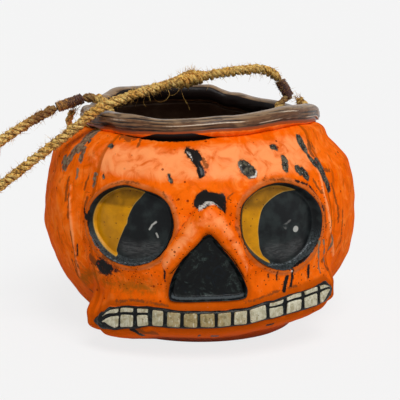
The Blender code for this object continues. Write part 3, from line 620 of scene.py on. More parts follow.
def reaches(line):
    """How far along the line each of its points lies."""
    steps = np.linalg.norm(np.diff(line, axis=0), axis=1)
    return np.concatenate([[0.0], np.cumsum(steps)])


def spots_along(line, wanted):
    """The line's points at the wanted distances from its start."""
    reach = reaches(line)
    return np.stack([np.interp(wanted, reach, line[:, k]) for k in range(line.shape[1])], axis=1)


def evenly(line, count):
    return spots_along(line, np.linspace(0.0, reaches(line)[-1], count))


def table_value(table, key, column=1):
    """A smooth value read from rows that start with rising keys."""
    rows = np.array(table, dtype=float)
    place = np.clip(np.searchsorted(rows[:, 0], key) - 1, 0, len(rows) - 2)
    share = smoothstep(rows[place, 0], rows[place + 1, 0], key)
    return rows[place, column] + (rows[place + 1, column] - rows[place, column]) * share


def thrown_radius(height, widest, below, above):
    """A wall that swells from the foot to its widest radius and draws in to the neck."""
    low = np.clip(height / BELLY_HEIGHT, 0.0, 1.0)
    belly = FOOT_RADIUS + (widest - FOOT_RADIUS) * (1.0 - (1.0 - low) ** below[0]) ** below[1]
    high = np.clip((height - BELLY_HEIGHT) / (NECK_HEIGHT - BELLY_HEIGHT), 0.0, 1.0)
    shoulder = NECK_RADIUS + (widest - NECK_RADIUS) * (1.0 - high ** above[0]) ** above[1]
    return np.where(height <= BELLY_HEIGHT, belly, shoulder)


def side_radius(height):
    return thrown_radius(height, BELLY_RADIUS, BELLY_FULLNESS, SHOULDER_FULLNESS)


def face_radius(height):
    return thrown_radius(height, BELLY_RADIUS + FACE_RISE, FACE_FULLNESS, BROW_FULLNESS)


def lobe_window(height):
    return smoothstep(0.0, LOBES_GROWN, height) * (1.0 - smoothstep(*LOBES_FADE, height))


def jaw_share(angle, height):
    """1 on the jaw's front, round the mouth, and 0 away from it."""
    inside = np.maximum(angle, MOUTH[0][0])
    middle = table_value(MOUTH, inside, 1)
    half = table_value(MOUTH, inside, 2)
    beside = np.maximum(0.0, np.maximum(JAW_ENDS[0] - angle, angle - JAW_ENDS[1])) * FACE_SCALE
    above = np.maximum(0.0, np.abs(height - middle) - half)
    return 1.0 - smoothstep(0.0, JAW_SPREAD, np.hypot(beside, above))


def outer_radius(angle, height):
    """The shell as it was before eyes, nose and mouth were put in."""
    angle = wrapped(angle)
    height = np.asarray(height, dtype=float)
    low, middle, high = SKEW_HEIGHTS
    bell = smoothstep(low, middle, height) * (1.0 - smoothstep(middle, high, height))
    radius = side_radius(height)
    share = np.minimum(np.abs(angle) / FACE_HALF_ANGLE, 1.0)
    face = (face_radius(height) - radius) * (1.0 - share ** FACE_EDGE_STEEPNESS)
    turn = (np.abs(angle) - FACE_HALF_ANGLE) / (180.0 - FACE_HALF_ANGLE) * LOBES / 2
    lobe = LOBE_RISE * np.abs(np.sin(np.pi * turn)) ** LOBE_ROUNDNESS * lobe_window(height)
    radius = radius + np.where(share < 1.0, face, lobe)
    radius = radius - SHOULDER_SKEW * bell * np.sin(np.radians(angle))
    return radius + (JAW_RADIUS - radius) * jaw_share(angle, height)


def on_pot(angle, height, radius):
    """Points at an angle, a height and a radius, lifted by the wave near the neck."""
    around = wrapped(angle)
    lift = table_value(RIM_WAVE, around) * smoothstep(WAVE_START, NECK_HEIGHT, height)
    turn = np.radians(around)
    spot = (radius * np.sin(turn), -radius * np.cos(turn), np.asarray(height) + lift)
    return np.stack(np.broadcast_arrays(*spot), axis=-1)


def unevenness(points, size, seed=0):
    """Soft noise from -1 to 1 at points in space, with dents of about the given size."""
    shift = Vector((seed * 17.3, seed * 5.1, seed * 9.7))
    flat = points.reshape(-1, 3) / size
    found = [noise.noise(Vector(spot) + shift) for spot in flat.tolist()]
    return np.array(found).reshape(points.shape[:-1])


def dented(points, kind):
    """The dents of one kind of surface, of all their sizes, added up."""
    return sum(unevenness(points, size, seed) * depth for size, seed, depth in DENTS[kind])


def near_line(line, angle, height, reach):
    """Which places lie within reach of the box round a line on the face, and those places."""
    spots = np.stack([angle * FACE_SCALE, height], axis=-1)
    near = np.all((spots > line.min(axis=0) - reach) & (spots < line.max(axis=0) + reach), axis=-1)
    return near, spots[near]


def segment_gap(spots, start, end):
    way = end - start
    share = np.clip(((spots - start) @ way) / max(way @ way, 1e-9), 0.0, 1.0)
    gap = spots - start - share[:, None] * way
    return np.hypot(gap[:, 0], gap[:, 1])


def inside_distance(outline, angle, height):
    """Millimetres inside a closed outline on the face, and less than 0 outside it."""
    ring = spline(outline, 6, closed=True) * (FACE_SCALE, 1.0)
    near, spots = near_line(ring, angle, height, OUTLINE_REACH)
    least = np.full(len(spots), OUTLINE_REACH)
    within = np.zeros(len(spots), dtype=bool)
    for start, end in zip(ring, np.roll(ring, -1, axis=0)):
        least = np.minimum(least, segment_gap(spots, start, end))
        if start[1] != end[1]:
            crossed = (start[1] > spots[:, 1]) != (end[1] > spots[:, 1])
            share = (spots[:, 1] - start[1]) / (end[1] - start[1])
            within ^= crossed & (spots[:, 0] < start[0] + share * (end[0] - start[0]))
    found = np.full(angle.shape, -OUTLINE_REACH)
    found[near] = np.where(within, least, -least)
    return found


def stroke_distance(stroke, angle, height, reach=6.0):
    """Millimetres from a brush stroke's middle line on the face, up to a reach."""
    line = np.array(stroke) * (FACE_SCALE, 1.0)
    near, spots = near_line(line, angle, height, reach)
    least = np.full(len(spots), reach)
    for start, end in zip(line, line[1:]):
        least = np.minimum(least, segment_gap(spots, start, end))
    found = np.full(angle.shape, reach)
    found[near] = least
    return found


def edge_mask(inside, soft):
    """0.5 on an edge, 1 well inside it and 0 well outside it."""
    return np.clip(0.5 + inside / (2.0 * soft), 0.0, 1.0)


def strokes_mask(strokes, angle, height, soft):
    found = np.zeros(angle.shape)
    for line, half in strokes:
        found = np.maximum(found, edge_mask(half - stroke_distance(line, angle, height), soft))
    return found


def paint(red, green, blue):
    """A colour as a painter's chart gives it, 0 to 255, as light values."""
    values = []
    for part in (red, green, blue):
        share = part / 255.0
        values.append(share / 12.92 if share <= 0.04045 else ((share + 0.055) / 1.055) ** 2.4)
    return (*values, 1.0)


class Value:
    """A socket of a finish, on which plain arithmetic adds Math nodes."""

    def __init__(self, finish, socket):
        self.finish = finish
        self.socket = socket

    def math(self, operation, *others):
        inputs = dict(enumerate((self, *others)))
        return self.finish.node("ShaderNodeMath", {"operation": operation}, inputs)

    def __add__(self, other):
        return self.math("ADD", other)

    def __sub__(self, other):
        return self.math("SUBTRACT", other)

    def __mul__(self, other):
        return self.math("MULTIPLY", other)

    def __rsub__(self, other):
        inputs = {0: other, 1: self}
        return self.finish.node("ShaderNodeMath", {"operation": "SUBTRACT"}, inputs)

    __radd__ = __add__
    __rmul__ = __mul__

    def over(self, low, high):
        """0 below low, 1 above high and smooth between."""
        settings = {"interpolation_type": "SMOOTHSTEP"}
        inputs = {"Value": self, "From Min": low, "From Max": high}
        return self.finish.node("ShaderNodeMapRange", settings, inputs)

    def most(self, other):
        return self.math("MAXIMUM", other)


class Finish:
    """One material, and the nodes that paint it.  Sizes are in millimetres."""

    def __init__(self, name, roughness=0.5, coat=0.0, coat_roughness=0.1, specular=0.5):
        self.material = bpy.data.materials.new(name)
        self.material.use_nodes = True
        self.tree = self.material.node_tree
        self.shader = self.tree.nodes["Principled BSDF"]
        self.shader.inputs["Roughness"].default_value = roughness
        self.shader.inputs["Specular IOR Level"].default_value = specular
        self.shader.inputs["Coat Weight"].default_value = coat
        self.shader.inputs["Coat Roughness"].default_value = coat_roughness
        self.colour = None
        place = self.node("ShaderNodeTexCoord", output="Object")
        self.place = self.stretched(place, (1.0 / MM, 1.0 / MM, 1.0 / MM))

    def node(self, kind, settings=None, inputs=None, output=0):
        made = self.tree.nodes.new(kind)
        for name, value in (settings or {}).items():
            setattr(made, name, value)
        for name, value in (inputs or {}).items():
            if isinstance(value, Value):
                self.tree.links.new(value.socket, made.inputs[name])
            else:
                made.inputs[name].default_value = value
        return Value(self, made.outputs[output])

    def stretched(self, vector, scale):
        inputs = {0: vector, 1: scale}
        return self.node("ShaderNodeVectorMath", {"operation": "MULTIPLY"}, inputs)

    def noise(self, size, detail=2.0, roughness=0.5, stretch=None, distortion=0.0):
        place = self.stretched(self.place, stretch) if stretch else self.place
        inputs = {"Vector": place, "Scale": 1.0 / size, "Detail": detail,
                  "Roughness": roughness, "Distortion": distortion}
        return self.node("ShaderNodeTexNoise", {}, inputs)

    def cells(self, size):
        """The distance to the nearest of many scattered spots."""
        inputs = {"Vector": self.place, "Scale": 1.0 / size}
        return self.node("ShaderNodeTexVoronoi", {"feature": "F1"}, inputs, "Distance")

    def mask(self, name):
        return self.node("ShaderNodeAttribute", {"attribute_name": name}, output="Fac")

    def ragged(self, name, wobble, amount, low, high):
        """A mask made uneven by a wobble from 0 to 1: 0 below low and 1 above high."""
        return (self.mask(name) + (wobble - 0.5) * amount).over(low, high)

    def crisp(self, name, wobble, amount, width):
        """A ragged mask with a narrow edge, where it is 0.5."""
        return self.ragged(name, wobble, amount, 0.5 - width, 0.5 + width)

    def mix(self, factor, first, second):
        inputs = {0: factor, 6: first, 7: second}
        return self.node("ShaderNodeMix", {"data_type": "RGBA"}, inputs, output=2)

    def lay(self, factor, colour):
        """Lays a colour over what is painted so far."""
        self.colour = self.mix(factor, self.colour, colour)

    def link(self, value, name):
        self.tree.links.new(value.socket, self.shader.inputs[name])

    def bump(self, height, depth, strength=1.0):
        inputs = {"Height": height, "Distance": depth * MM, "Strength": strength}
        self.link(self.node("ShaderNodeBump", {}, inputs), "Normal")


def orange_patches(finish):
    """Where the orange is thick, above 0.5, and where it is thin, below."""
    return finish.noise(9.0, 4.0, 0.6, distortion=0.8)


def brushed_orange(finish, patchy):
    """Orange laid on unevenly, thick in some places and thin in others."""
    broad = finish.noise(30.0, 3.0)
    colour = finish.mix(broad.over(0.35, 0.65), paint(246, 106, 12), paint(238, 95, 2))
    colour = finish.mix(patchy.over(0.5, 0.68) * 0.65, colour, paint(255, 134, 50))
    return finish.mix(patchy.over(0.48, 0.36) * 0.6, colour, paint(212, 84, 2))


def orange_glaze():
    """Satin orange, brushed on in streaks over the clay, with darker glazes worked in, painted
    highlights on the raised parts and painted shade low down.
    """
    finish = Finish("orange_glaze", coat_roughness=0.2, specular=0.0)
    streaks = finish.noise(3.4, 4.0, 0.65, stretch=(1.0, 1.0, 0.14), distortion=0.5)
    fine = finish.noise(1.1, 2.0)
    rough = finish.noise(2.4, 4.0, 0.7)
    patchy = orange_patches(finish)
    finish.colour = brushed_orange(finish, patchy)
    sides = finish.mask("sides")
    finish.lay(streaks.over(0.54, 0.7) * (0.3 + sides * 0.5), paint(246, 126, 20))
    finish.lay(streaks.over(0.46, 0.3) * (0.22 + sides * 0.6), paint(176, 76, 8))
    # Painted highlight: salmon on the brow, round the eyes, along the face's edges and on the nose coil
    painted_highlight = finish.mask("painted_highlight") * (patchy * 2.4 - 0.3)
    finish.lay(painted_highlight.over(0.25, 1.0) * 0.85, paint(255, 158, 96))
    # Darker orange round the eyes, nose and mouth, and along the nose coil's inner side
    finish.lay(finish.ragged("recess_darkening", rough, 0.7, 0.15, 0.85) * 0.8, paint(172, 74, 4))
    # Painted shade: the orange grows darker towards the bottom of the pot
    finish.lay(finish.mask("low") * (0.45 + patchy * 0.6), paint(188, 76, 4))
    finish.lay(finish.ragged("olive", rough, 1.3, 0.45, 1.1) * 0.75, paint(132, 84, 18))
    smoky = finish.mask("black").over(0.02, 0.5) * 0.7 + finish.mask("chip").over(0.05, 0.5) * 0.6
    finish.lay(smoky * rough.over(0.35, 0.6), paint(150, 70, 12))
    finish.lay(finish.crisp("brown", rough, 1.5, 0.14) * 0.8, paint(116, 62, 26))
    grey = finish.mix(rough.over(0.42, 0.6), paint(66, 70, 60), paint(122, 118, 96))
    finish.lay(finish.crisp("grey", rough, 1.3, 0.1) * 0.9, grey)
    chipped = finish.mix(rough.over(0.42, 0.66), paint(30, 27, 24), paint(96, 90, 74))
    chipped = finish.mix(fine.over(0.66, 0.72) * 0.8, chipped, paint(190, 186, 176))
    chip = finish.crisp("chip", rough, 1.1, 0.08)
    finish.lay(chip, chipped)
    black = finish.crisp("black", rough, 0.9, 0.1)
    finish.lay(black, paint(18, 13, 11))
    # Painted highlights on the black patches
    finish.lay(finish.crisp("glint", fine, 1.3, 0.25) * 0.85, paint(216, 210, 202))
    chosen = finish.noise(17.0, 2.0)
    spattered = (chosen * 0.5 + finish.mask("specked") * 0.5).over(0.52, 0.66)
    finish.lay(finish.cells(2.2).over(0.21, 0.14) * spattered * 0.9, paint(66, 22, 8))
    splashes = finish.cells(7.0).over(0.12, 0.09) * chosen.over(0.6, 0.45)
    finish.lay(splashes * 0.85, paint(120, 30, 6))
    dark = black.most(chip)
    finish.link(finish.colour, "Base Color")
    finish.link(0.46 + (fine - 0.5) * 0.16 - dark * 0.2, "Roughness")
    finish.link(0.03 + dark * 0.2, "Coat Weight")
    finish.bump(streaks * (0.3 + sides * 0.6) + patchy * 0.5 + rough * 0.45 - dark * 0.4, 0.45, 0.9)
    return finish.material


def inner_glaze():
    """The dark glossy glaze that was poured inside."""
    finish = Finish("inner_glaze", coat=0.05, coat_roughness=0.3, specular=0.1)
    broad = finish.noise(16.0, 3.0)
    fine = finish.noise(1.6, 2.0)
    finish.colour = finish.mix(broad.over(0.4, 0.7), paint(84, 60, 45), paint(110, 86, 69))
    finish.lay(fine.over(0.62, 0.75) * broad.over(0.5, 0.7) * 0.4, paint(96, 88, 80))
    finish.link(finish.colour, "Base Color")
    finish.link(0.34 + (fine - 0.5) * 0.2, "Roughness")
    finish.bump(broad + fine * 0.15, 0.3)
    return finish.material


def bare_clay():
    """The unglazed foot."""
    finish = Finish("bare_clay", roughness=0.9)
    grog = finish.noise(0.9, 3.0, 0.7)
    broad = finish.noise(14.0, 2.0)
    finish.colour = finish.mix(grog.over(0.35, 0.7), paint(176, 132, 100), paint(205, 168, 134))
    finish.lay(broad.over(0.4, 0.65) * 0.4, paint(150, 104, 76))
    finish.link(finish.colour, "Base Color")
    finish.bump(grog, 0.25)
    return finish.material


def brown_glaze():
    """Glossy brown on the rolled lip: pale where it was wiped, near black in the creases, with a
    painted shadow in the hollow beside the fold, and orange on its lower roll."""
    finish = Finish("brown_glaze", coat_roughness=0.12, specular=0.08)
    broad = finish.noise(12.0, 3.0)
    fine = finish.noise(1.4, 2.0)
    rough = finish.noise(2.4, 4.0, 0.7)
    along = finish.noise(2.4, 3.0, 0.6, stretch=(0.3, 0.3, 1.6))
    finish.colour = finish.mix(broad.over(0.35, 0.68), paint(98, 64, 40), paint(126, 92, 62))
    finish.lay(finish.mask("crest").over(0.1, 0.8) * 0.75, paint(146, 120, 90))
    finish.lay(along.over(0.53, 0.34) * 0.7, paint(48, 28, 18))
    finish.lay(finish.ragged("gleam", fine, 0.4, 0.3, 0.9) * 0.7, paint(244, 226, 200))
    # Near black in the grooves, and a painted shadow in the hollow beside the fold
    finish.lay(finish.ragged("crease", along, 0.5, 0.2, 0.6), paint(26, 16, 12))
    bare = finish.crisp("orange", rough, 0.5, 0.12)
    finish.lay(bare, brushed_orange(finish, orange_patches(finish)))
    finish.lay(finish.ragged("reddish", rough, 0.8, 0.3, 0.8) * 0.9, paint(132, 56, 22))
    finish.lay(finish.ragged("pooled", rough, 0.3, 0.35, 0.65), paint(20, 13, 11))
    finish.link(finish.colour, "Base Color")
    finish.link(0.34 + (fine - 0.5) * 0.2 + bare * 0.14, "Roughness")
    finish.link(0.25 - bare * 0.23 - finish.mask("inside") * 0.25, "Coat Weight")
    finish.bump(along * (0.6 - bare * 0.4) + fine * 0.2, 0.35, 0.9)
    return finish.material


def black_glaze():
    """Glossy black with a thin greenish bloom, and orange over the ends of the mouth's band."""
    finish = Finish("black_glaze", coat=0.2, coat_roughness=0.12, specular=0.1)
    bloom = finish.noise(7.0, 4.0, 0.6, distortion=1.6)
    fine = finish.noise(1.0, 3.0, 0.6)
    finish.colour = finish.mix(bloom.over(0.45, 0.72), paint(3, 5, 6), paint(20, 27, 26))
    finish.lay(bloom.over(0.54, 0.68) * fine.over(0.4, 0.6) * 0.55, paint(70, 82, 78))
    finish.lay(bloom.over(0.45, 0.3) * 0.5, paint(14, 26, 34))
    # Painted highlight on the raised lip along the nose's foot
    finish.lay(finish.ragged("pale", fine, 0.9, 0.5, 0.9) * 0.5, paint(104, 112, 116))
    # The orange here is darkened by half, like the painted shade low on the pot
    orange = finish.mix(0.5, brushed_orange(finish, orange_patches(finish)), paint(160, 70, 6))
    bare = finish.crisp("orange", bloom, 0.3, 0.12)
    finish.lay(bare, orange)
    finish.link(finish.colour, "Base Color")
    finish.link(0.36 + (fine - 0.5) * 0.3 + bare * 0.15, "Roughness")
    finish.link(0.1 - bare * 0.1, "Coat Weight")
    finish.bump(bloom * 1.2 + fine * 0.3, 0.6)
    return finish.material


def eye_paint():
    """Black and yellow brushwork in the eye dishes."""
    finish = Finish("eye_paint", coat=0.05, coat_roughness=0.2, specular=0.12)
    broad = finish.noise(7.0, 3.0)
    fine = finish.noise(0.9, 3.0, 0.6)
    strokes = finish.noise(1.5, 3.0, 0.6, stretch=(0.35, 0.35, 1.6), distortion=0.6)
    finish.colour = finish.mix(broad.over(0.4, 0.68), paint(12, 15, 17), paint(32, 38, 38))
    brushed = finish.mask("brushed") * (0.35 + strokes.over(0.4, 0.62) * 0.65)
    finish.lay(brushed * 0.55, paint(88, 88, 88))
    # Paler grey-blue low on the socket walls: grey dry brushing, and painted light where the wall faces
    # up
    wall = finish.mix(fine.over(0.4, 0.6), paint(32, 36, 37), paint(78, 86, 88))
    finish.lay(finish.mask("wall") * 0.5, wall)
    # Painted highlight along the lower edge of each dish
    finish.lay(finish.ragged("pale", fine, 1.0, 0.5, 0.95) * 0.7, paint(150, 158, 164))
    yellow = finish.mix(broad.over(0.35, 0.65), paint(182, 120, 0), paint(204, 138, 0))
    yellow = finish.mix(strokes.over(0.45, 0.65) * 0.3, yellow, paint(178, 122, 0))
    # Painted shadow: the yellow is darker at the top, under the socket's upper edge
    socket_shadow = finish.mix(broad.over(0.4, 0.6), paint(124, 82, 0), paint(150, 100, 4))
    yellow = finish.mix(finish.ragged("socket_shadow", fine, 0.3, 0.2, 0.8) * 0.9, yellow, socket_shadow)
    painted = finish.crisp("yellow", fine, 0.05, 0.03)
    finish.lay(painted, yellow)
    # Painted highlight: a thin pale line along the yellow's edge
    edge = finish.mask("yellow")
    finish.lay(edge.over(0.46, 0.5) * edge.over(0.57, 0.52) * 0.3, paint(196, 172, 96))
    finish.lay(finish.cells(3.6).over(0.13, 0.08) * painted * 0.85, paint(78, 30, 6))
    # Painted highlights in the eyes: bright glints, and a faint arc in the right eye
    finish.lay(finish.crisp("glint", fine, 0.5, 0.25) * 0.9, paint(176, 176, 170))
    finish.lay(finish.crisp("faint", fine, 0.5, 0.25) * 0.6, paint(110, 110, 108))
    finish.link(finish.colour, "Base Color")
    finish.link(0.44 + (fine - 0.5) * 0.2 - painted * 0.08, "Roughness")
    finish.bump(broad * 0.5 + fine * 0.25 + strokes * 0.3, 0.3, 0.8)
    return finish.material


def ivory_glaze():
    """Cream glaze on the teeth, stained tan, with black drawn onto their edges."""
    finish = Finish("ivory_glaze", coat=0.1, coat_roughness=0.2, specular=0.25)
    broad = finish.noise(5.0, 4.0, 0.65, distortion=0.6)
    fine = finish.noise(0.9, 3.0, 0.6)
    brushed = finish.noise(1.3, 3.0, 0.6, stretch=(1.0, 1.0, 0.3))
    stain = finish.mask("stain")
    finish.colour = finish.mix(broad.over(0.35, 0.62), paint(156, 149, 118), paint(204, 201, 178))
    stained = (stain * 0.9 + (broad - 0.5) * 2.0 + (fine - 0.5) * 0.6).over(0.25, 0.9)
    finish.lay(stained * 0.8, paint(138, 112, 48))
    finish.lay(brushed.over(0.54, 0.68) * 0.45, paint(122, 104, 62))
    finish.lay(brushed.over(0.44, 0.32) * 0.5, paint(226, 226, 208))
    finish.lay(finish.noise(2.6, 3.0).over(0.52, 0.64) * stain * 0.7, paint(100, 84, 38))
    finish.lay(finish.cells(3.1).over(0.14, 0.09) * 0.8, paint(66, 44, 26))
    finish.lay(finish.ragged("edge", fine, 0.35, 0.6, 0.95) * 0.9, paint(34, 30, 26))
    finish.link(finish.colour, "Base Color")
    finish.link(0.38 + (fine - 0.5) * 0.2, "Roughness")
    finish.bump(broad * 0.5 + fine * 0.3, 0.3)
    return finish.material


def rope_fibre():
    """Golden plant fibre: fine hairs along the lay, with painted shade in the creases between strands.
    """
    finish = Finish("rope_fibre", roughness=0.85)
    along = finish.mask("along")
    turned = finish.mask("round")
    place = finish.node("ShaderNodeCombineXYZ", {}, {0: turned * 3.0, 1: along * 0.22, 2: 0.0})
    hairs = finish.node("ShaderNodeTexNoise", {}, {"Vector": place, "Scale": 2.2, "Detail": 3.0})
    broad = finish.noise(9.0, 3.0)
    patchy = finish.noise(1.7, 3.0, 0.65)
    finish.colour = finish.mix(hairs.over(0.38, 0.6), paint(198, 118, 30), paint(255, 206, 100))
    finish.lay(broad.over(0.4, 0.58) * hairs.over(0.42, 0.56) * 0.75, paint(255, 226, 140))
    finish.lay(patchy.over(0.53, 0.63) * 0.6, paint(255, 232, 150))
    finish.lay(patchy.over(0.48, 0.39) * 0.85, paint(104, 58, 14))
    # Painted shade: dark in the creases between strands, away from each strand's crown
    crease = (1.0 - finish.mask("crown")).math("POWER", 2.5)
    finish.lay(crease * 0.9, paint(56, 28, 6))
    finish.lay(finish.ragged("stain", hairs, 0.8, 0.3, 0.9) * 0.7, paint(92, 44, 22))
    finish.link(finish.colour, "Base Color")
    finish.bump(hairs + patchy * 0.6, 1.0)
    return finish.material


def loose_fibre():
    finish = Finish("loose_fibre", roughness=0.85)
    patchy = finish.noise(3.0, 2.0)
    colour = finish.mix(patchy.over(0.35, 0.65), paint(156, 100, 30), paint(236, 190, 96))
    finish.link(colour, "Base Color")
    return finish.material


def tarred_twine():
    """Dark waxed twine, with painted shade between its turns."""
    finish = Finish("tarred_twine", roughness=0.6)
    fine = finish.noise(0.5, 3.0, 0.6)
    broad = finish.noise(4.0, 2.0)
    patchy = finish.noise(1.5, 3.0, 0.65)
    finish.colour = finish.mix(fine.over(0.35, 0.7), paint(48, 22, 16), paint(104, 54, 36))
    finish.lay(broad.over(0.5, 0.7) * 0.5, paint(34, 17, 13))
    worn = (finish.mask("worn") * 0.8 + (patchy - 0.5) * 2.4).over(0.4, 0.8)
    finish.lay(worn * 0.9, finish.mix(fine, paint(110, 64, 26), paint(222, 160, 76)))
    # Painted shade between the turns, where the twine turns in towards the rope
    crease = (1.0 - finish.mask("crown")).math("POWER", 1.5)
    finish.lay(crease * 0.9, paint(20, 9, 6))
    finish.link(finish.colour, "Base Color")
    finish.bump(fine, 0.35)
    return finish.material


def make_piece(name, points, faces, looks, masks=None, face_looks=None):
    """A piece from points in millimetres, faces, materials and masks held at its points."""
    mesh = bpy.data.meshes.new(name)
    mesh.from_pydata((np.asarray(points) * MM).tolist(), [], faces)
    for look in looks:
        mesh.materials.append(look)
    for mask, values in (masks or {}).items():
        held = mesh.attributes.new(mask, "FLOAT", "POINT")
        held.data.foreach_set("value", np.asarray(values, dtype=np.float32).ravel())
    if face_looks is not None:
        mesh.polygons.foreach_set("material_index", np.asarray(face_looks, dtype=np.int32))
    mesh.shade_smooth()
    mesh.update()
    piece = bpy.data.objects.new(name, mesh)
    bpy.context.scene.collection.objects.link(piece)
    return piece


def place_piece(piece, body, slot, *nodes):
    """Puts a piece on its body, in place of the CAD nodes that it dresses."""
    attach(piece, body)
    if nodes:
        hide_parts(*nodes)
    return piece


def grid_faces(rows, columns, wrap_rows=False):
    """Faces between rows of points, each row closed round."""
    faces = []
    for row in range(rows if wrap_rows else rows - 1):
        above = (row + 1) % rows
        for column in range(columns):
            after = (column + 1) % columns
            faces.append((row * columns + column, row * columns + after,
                          above * columns + after, above * columns + column))
    return faces


def tube_faces(rows, columns, base=0):
    """Faces of a tube with flat ends, whose points start at a base."""
    faces = [tuple(base + corner for corner in face) for face in grid_faces(rows, columns)]
    faces.append(tuple(reversed(range(base, base + columns))))
    last = base + (rows - 1) * columns
    faces.append(tuple(range(last, last + columns)))
    return faces


def tipped_faces(rows, columns):
    """Faces of a tube that closes on one point at each end, the two last points."""
    faces = grid_faces(rows, columns)
    last = (rows - 1) * columns
    tip = rows * columns
    for column in range(columns):
        after = (column + 1) % columns
        faces.append((after, column, tip))
        faces.append((last + column, last + after, tip + 1))
    return faces


def make_band(name, front, back, looks, masks):
    """A closed strip between a front and a back skin, with the same masks on both."""
    ring = np.concatenate([front, back[:, ::-1]], axis=1)
    held = {}
    for mask, values in masks.items():
        wide = np.broadcast_to(values, front.shape[:2])
        held[mask] = np.concatenate([wide, wide[:, ::-1]], axis=1)
    return make_piece(name, ring.reshape(-1, 3), tube_faces(*ring.shape[:2]), looks, held)


def make_camera():
    turn = math.radians(CAMERA_TURN)
    rise = math.radians(CAMERA_RISE)
    back = Vector((math.sin(turn) * math.cos(rise), -math.cos(turn) * math.cos(rise), math.sin(rise)))
    lens = bpy.data.cameras.new("camera")
    lens.lens = CAMERA_LENS
    camera = bpy.data.objects.new("camera", lens)
    camera.location = (Vector(CAMERA_TARGET) + back * CAMERA_DISTANCE) * MM
    camera.rotation_euler = back.to_track_quat("Z", "Y").to_euler()
    bpy.context.scene.collection.objects.link(camera)
    bpy.context.scene.camera = camera


def frames(line):
    """The way at each point of a line and two directions square to it, turned as little as
    may be."""
    ways = unit(np.gradient(line, axis=0))
    side = np.cross(ways[0], (0.0, 0.0, 1.0))
    if np.linalg.norm(side) < 0.1:
        side = np.cross(ways[0], (0.0, 1.0, 0.0))
    sides = []
    for way in ways:
        side = unit(side - way * (side @ way))
        sides.append(side)
    sides = np.array(sides)
    return ways, sides, np.cross(ways, sides)


def spokes_round(sides, others, turn):
    """Directions out from each point of a line, at angles round it."""
    return sides[:, None] * np.cos(turn)[..., None] + others[:, None] * np.sin(turn)[..., None]


def laid_rope(name, line, thick, looks, pitch=ROPE_PITCH, first_turn=0.0, stain=None):
    """Three strands laid round each other along a line; thick is the diameter at each point."""
    steps = np.linspace(-1.0, 1.0, STRAND_POINTS, endpoint=False)
    crown = np.tile(np.sqrt(1.0 - steps ** 2), 3)
    share = ROPE_CREASE + (1.0 - ROPE_CREASE) * crown
    around = 2 * np.pi * (np.repeat(np.arange(3), STRAND_POINTS) + (np.tile(steps, 3) + 1.0) / 2) / 3
    reach = reaches(line)
    sides, others = frames(line)[1:]
    turns = first_turn + reach / pitch + dented(line, "rope lay")
    spin = around[None, :] + 2 * np.pi * turns[:, None]
    spokes = spokes_round(sides, others, spin)
    points = line[:, None] + spokes * (share[None, :, None] * thick[:, None, None] / 2)
    rough = dented(points, "rope") * thick[:, None] / ROPE_DIAMETER
    points = points + spokes * rough[..., None]
    points[..., 2] = np.maximum(points[..., 2], 0.0)
    masks = {}
    for mask, values, tip in (
            ("crown", crown, 0.0), ("along", reach[:, None], reach[-1]), ("round", around, 0.0),
            ("stain", 0.0 if stain is None else stain[:, None], 0.0)):
        masks[mask] = np.append(np.broadcast_to(values, spin.shape).ravel(), (0.0, tip))
    points = np.concatenate([points.reshape(-1, 3), line[:1], line[-1:]])
    return make_piece(name, points, tipped_faces(*spin.shape), looks, masks)


def fibres(name, roots, outs, ways, longest, looks, width, wild=HAIR_WILDNESS, segments=5):
    """Thin bent hairs that stand off a rope: three-sided, and pointed at their free ends."""
    count = len(roots)
    lengths = longest * chance.uniform(*HAIR_LENGTHS, (count, 1))
    aim = outs * chance.uniform(*HAIR_STANDS, (count, 1))
    aim = aim + ways * chance.uniform(-1.0, 1.0, (count, 1))
    aim = unit(aim + chance.normal(0.0, HAIR_SCATTER * wild, (count, 3)))
    bend = chance.normal(0.0, wild, (count, 3))
    across = unit(np.cross(aim, bend))
    spokes = spokes_round(across, np.cross(aim, across), THIRDS)
    rings = []
    for step in range(segments + 1):
        share = step / segments
        middle = roots + aim * lengths * share + bend * lengths * 0.5 * share ** 2
        rings.append(middle[:, None] + spokes * width * (1.0 - HAIR_TAPER * share))
    points = np.concatenate(rings, axis=1)
    faces = []
    for hair in range(count):
        faces += tube_faces(segments + 1, 3, hair * points.shape[1])
    return make_piece(name, points.reshape(-1, 3), faces, looks)


def thin_lines(name, lines, thick, looks):
    """Long loose fibres along given lines, each a three-sided tube that thins out."""
    points = np.zeros((0, 3))
    faces = []
    for drawn in lines:
        line = spline(drawn, 8)
        sides, others = frames(line)[1:]
        size = thick / 2 * (1.0 - STRAY_TAPER * np.linspace(0.0, 1.0, len(line)))
        rings = line[:, None] + spokes_round(sides, others, THIRDS) * size[:, None, None]
        faces += tube_faces(len(line), 3, len(points))
        points = np.concatenate([points, rings.reshape(-1, 3)])
    return make_piece(name, points, faces, looks)


def hairs_on(name, line, radius, kind, looks, keep=None):
    """Hairs at chance places along a rope, and only at those points that are kept."""
    count, longest, width, segments = kind
    ways, sides, others = frames(line)
    picks = chance.integers(1, len(line) - 1, count)
    if keep is not None:
        picks = picks[keep[picks]]
    turn = chance.uniform(0.0, 2 * np.pi, (len(picks), 1))
    outs = sides[picks] * np.cos(turn) + others[picks] * np.sin(turn)
    roots = line[picks] + outs * radius * HAIR_ROOT
    return fibres(name, roots, outs, ways[picks], longest, looks, width, segments=segments)


def pivot(binding):
    """Where the handle's rope leaves a binding."""
    near, far = np.array(binding)
    return far + unit(far - near) * PIVOT_GAP


def rim_spot(angle, outward, up):
    """A point beside the lip, measured from the middle of its crest."""
    place = on_pot(angle, NECK_HEIGHT, RIM_RADIUS + outward)
    return place + (0.0, 0.0, CREST_HEIGHT - NECK_HEIGHT + up)


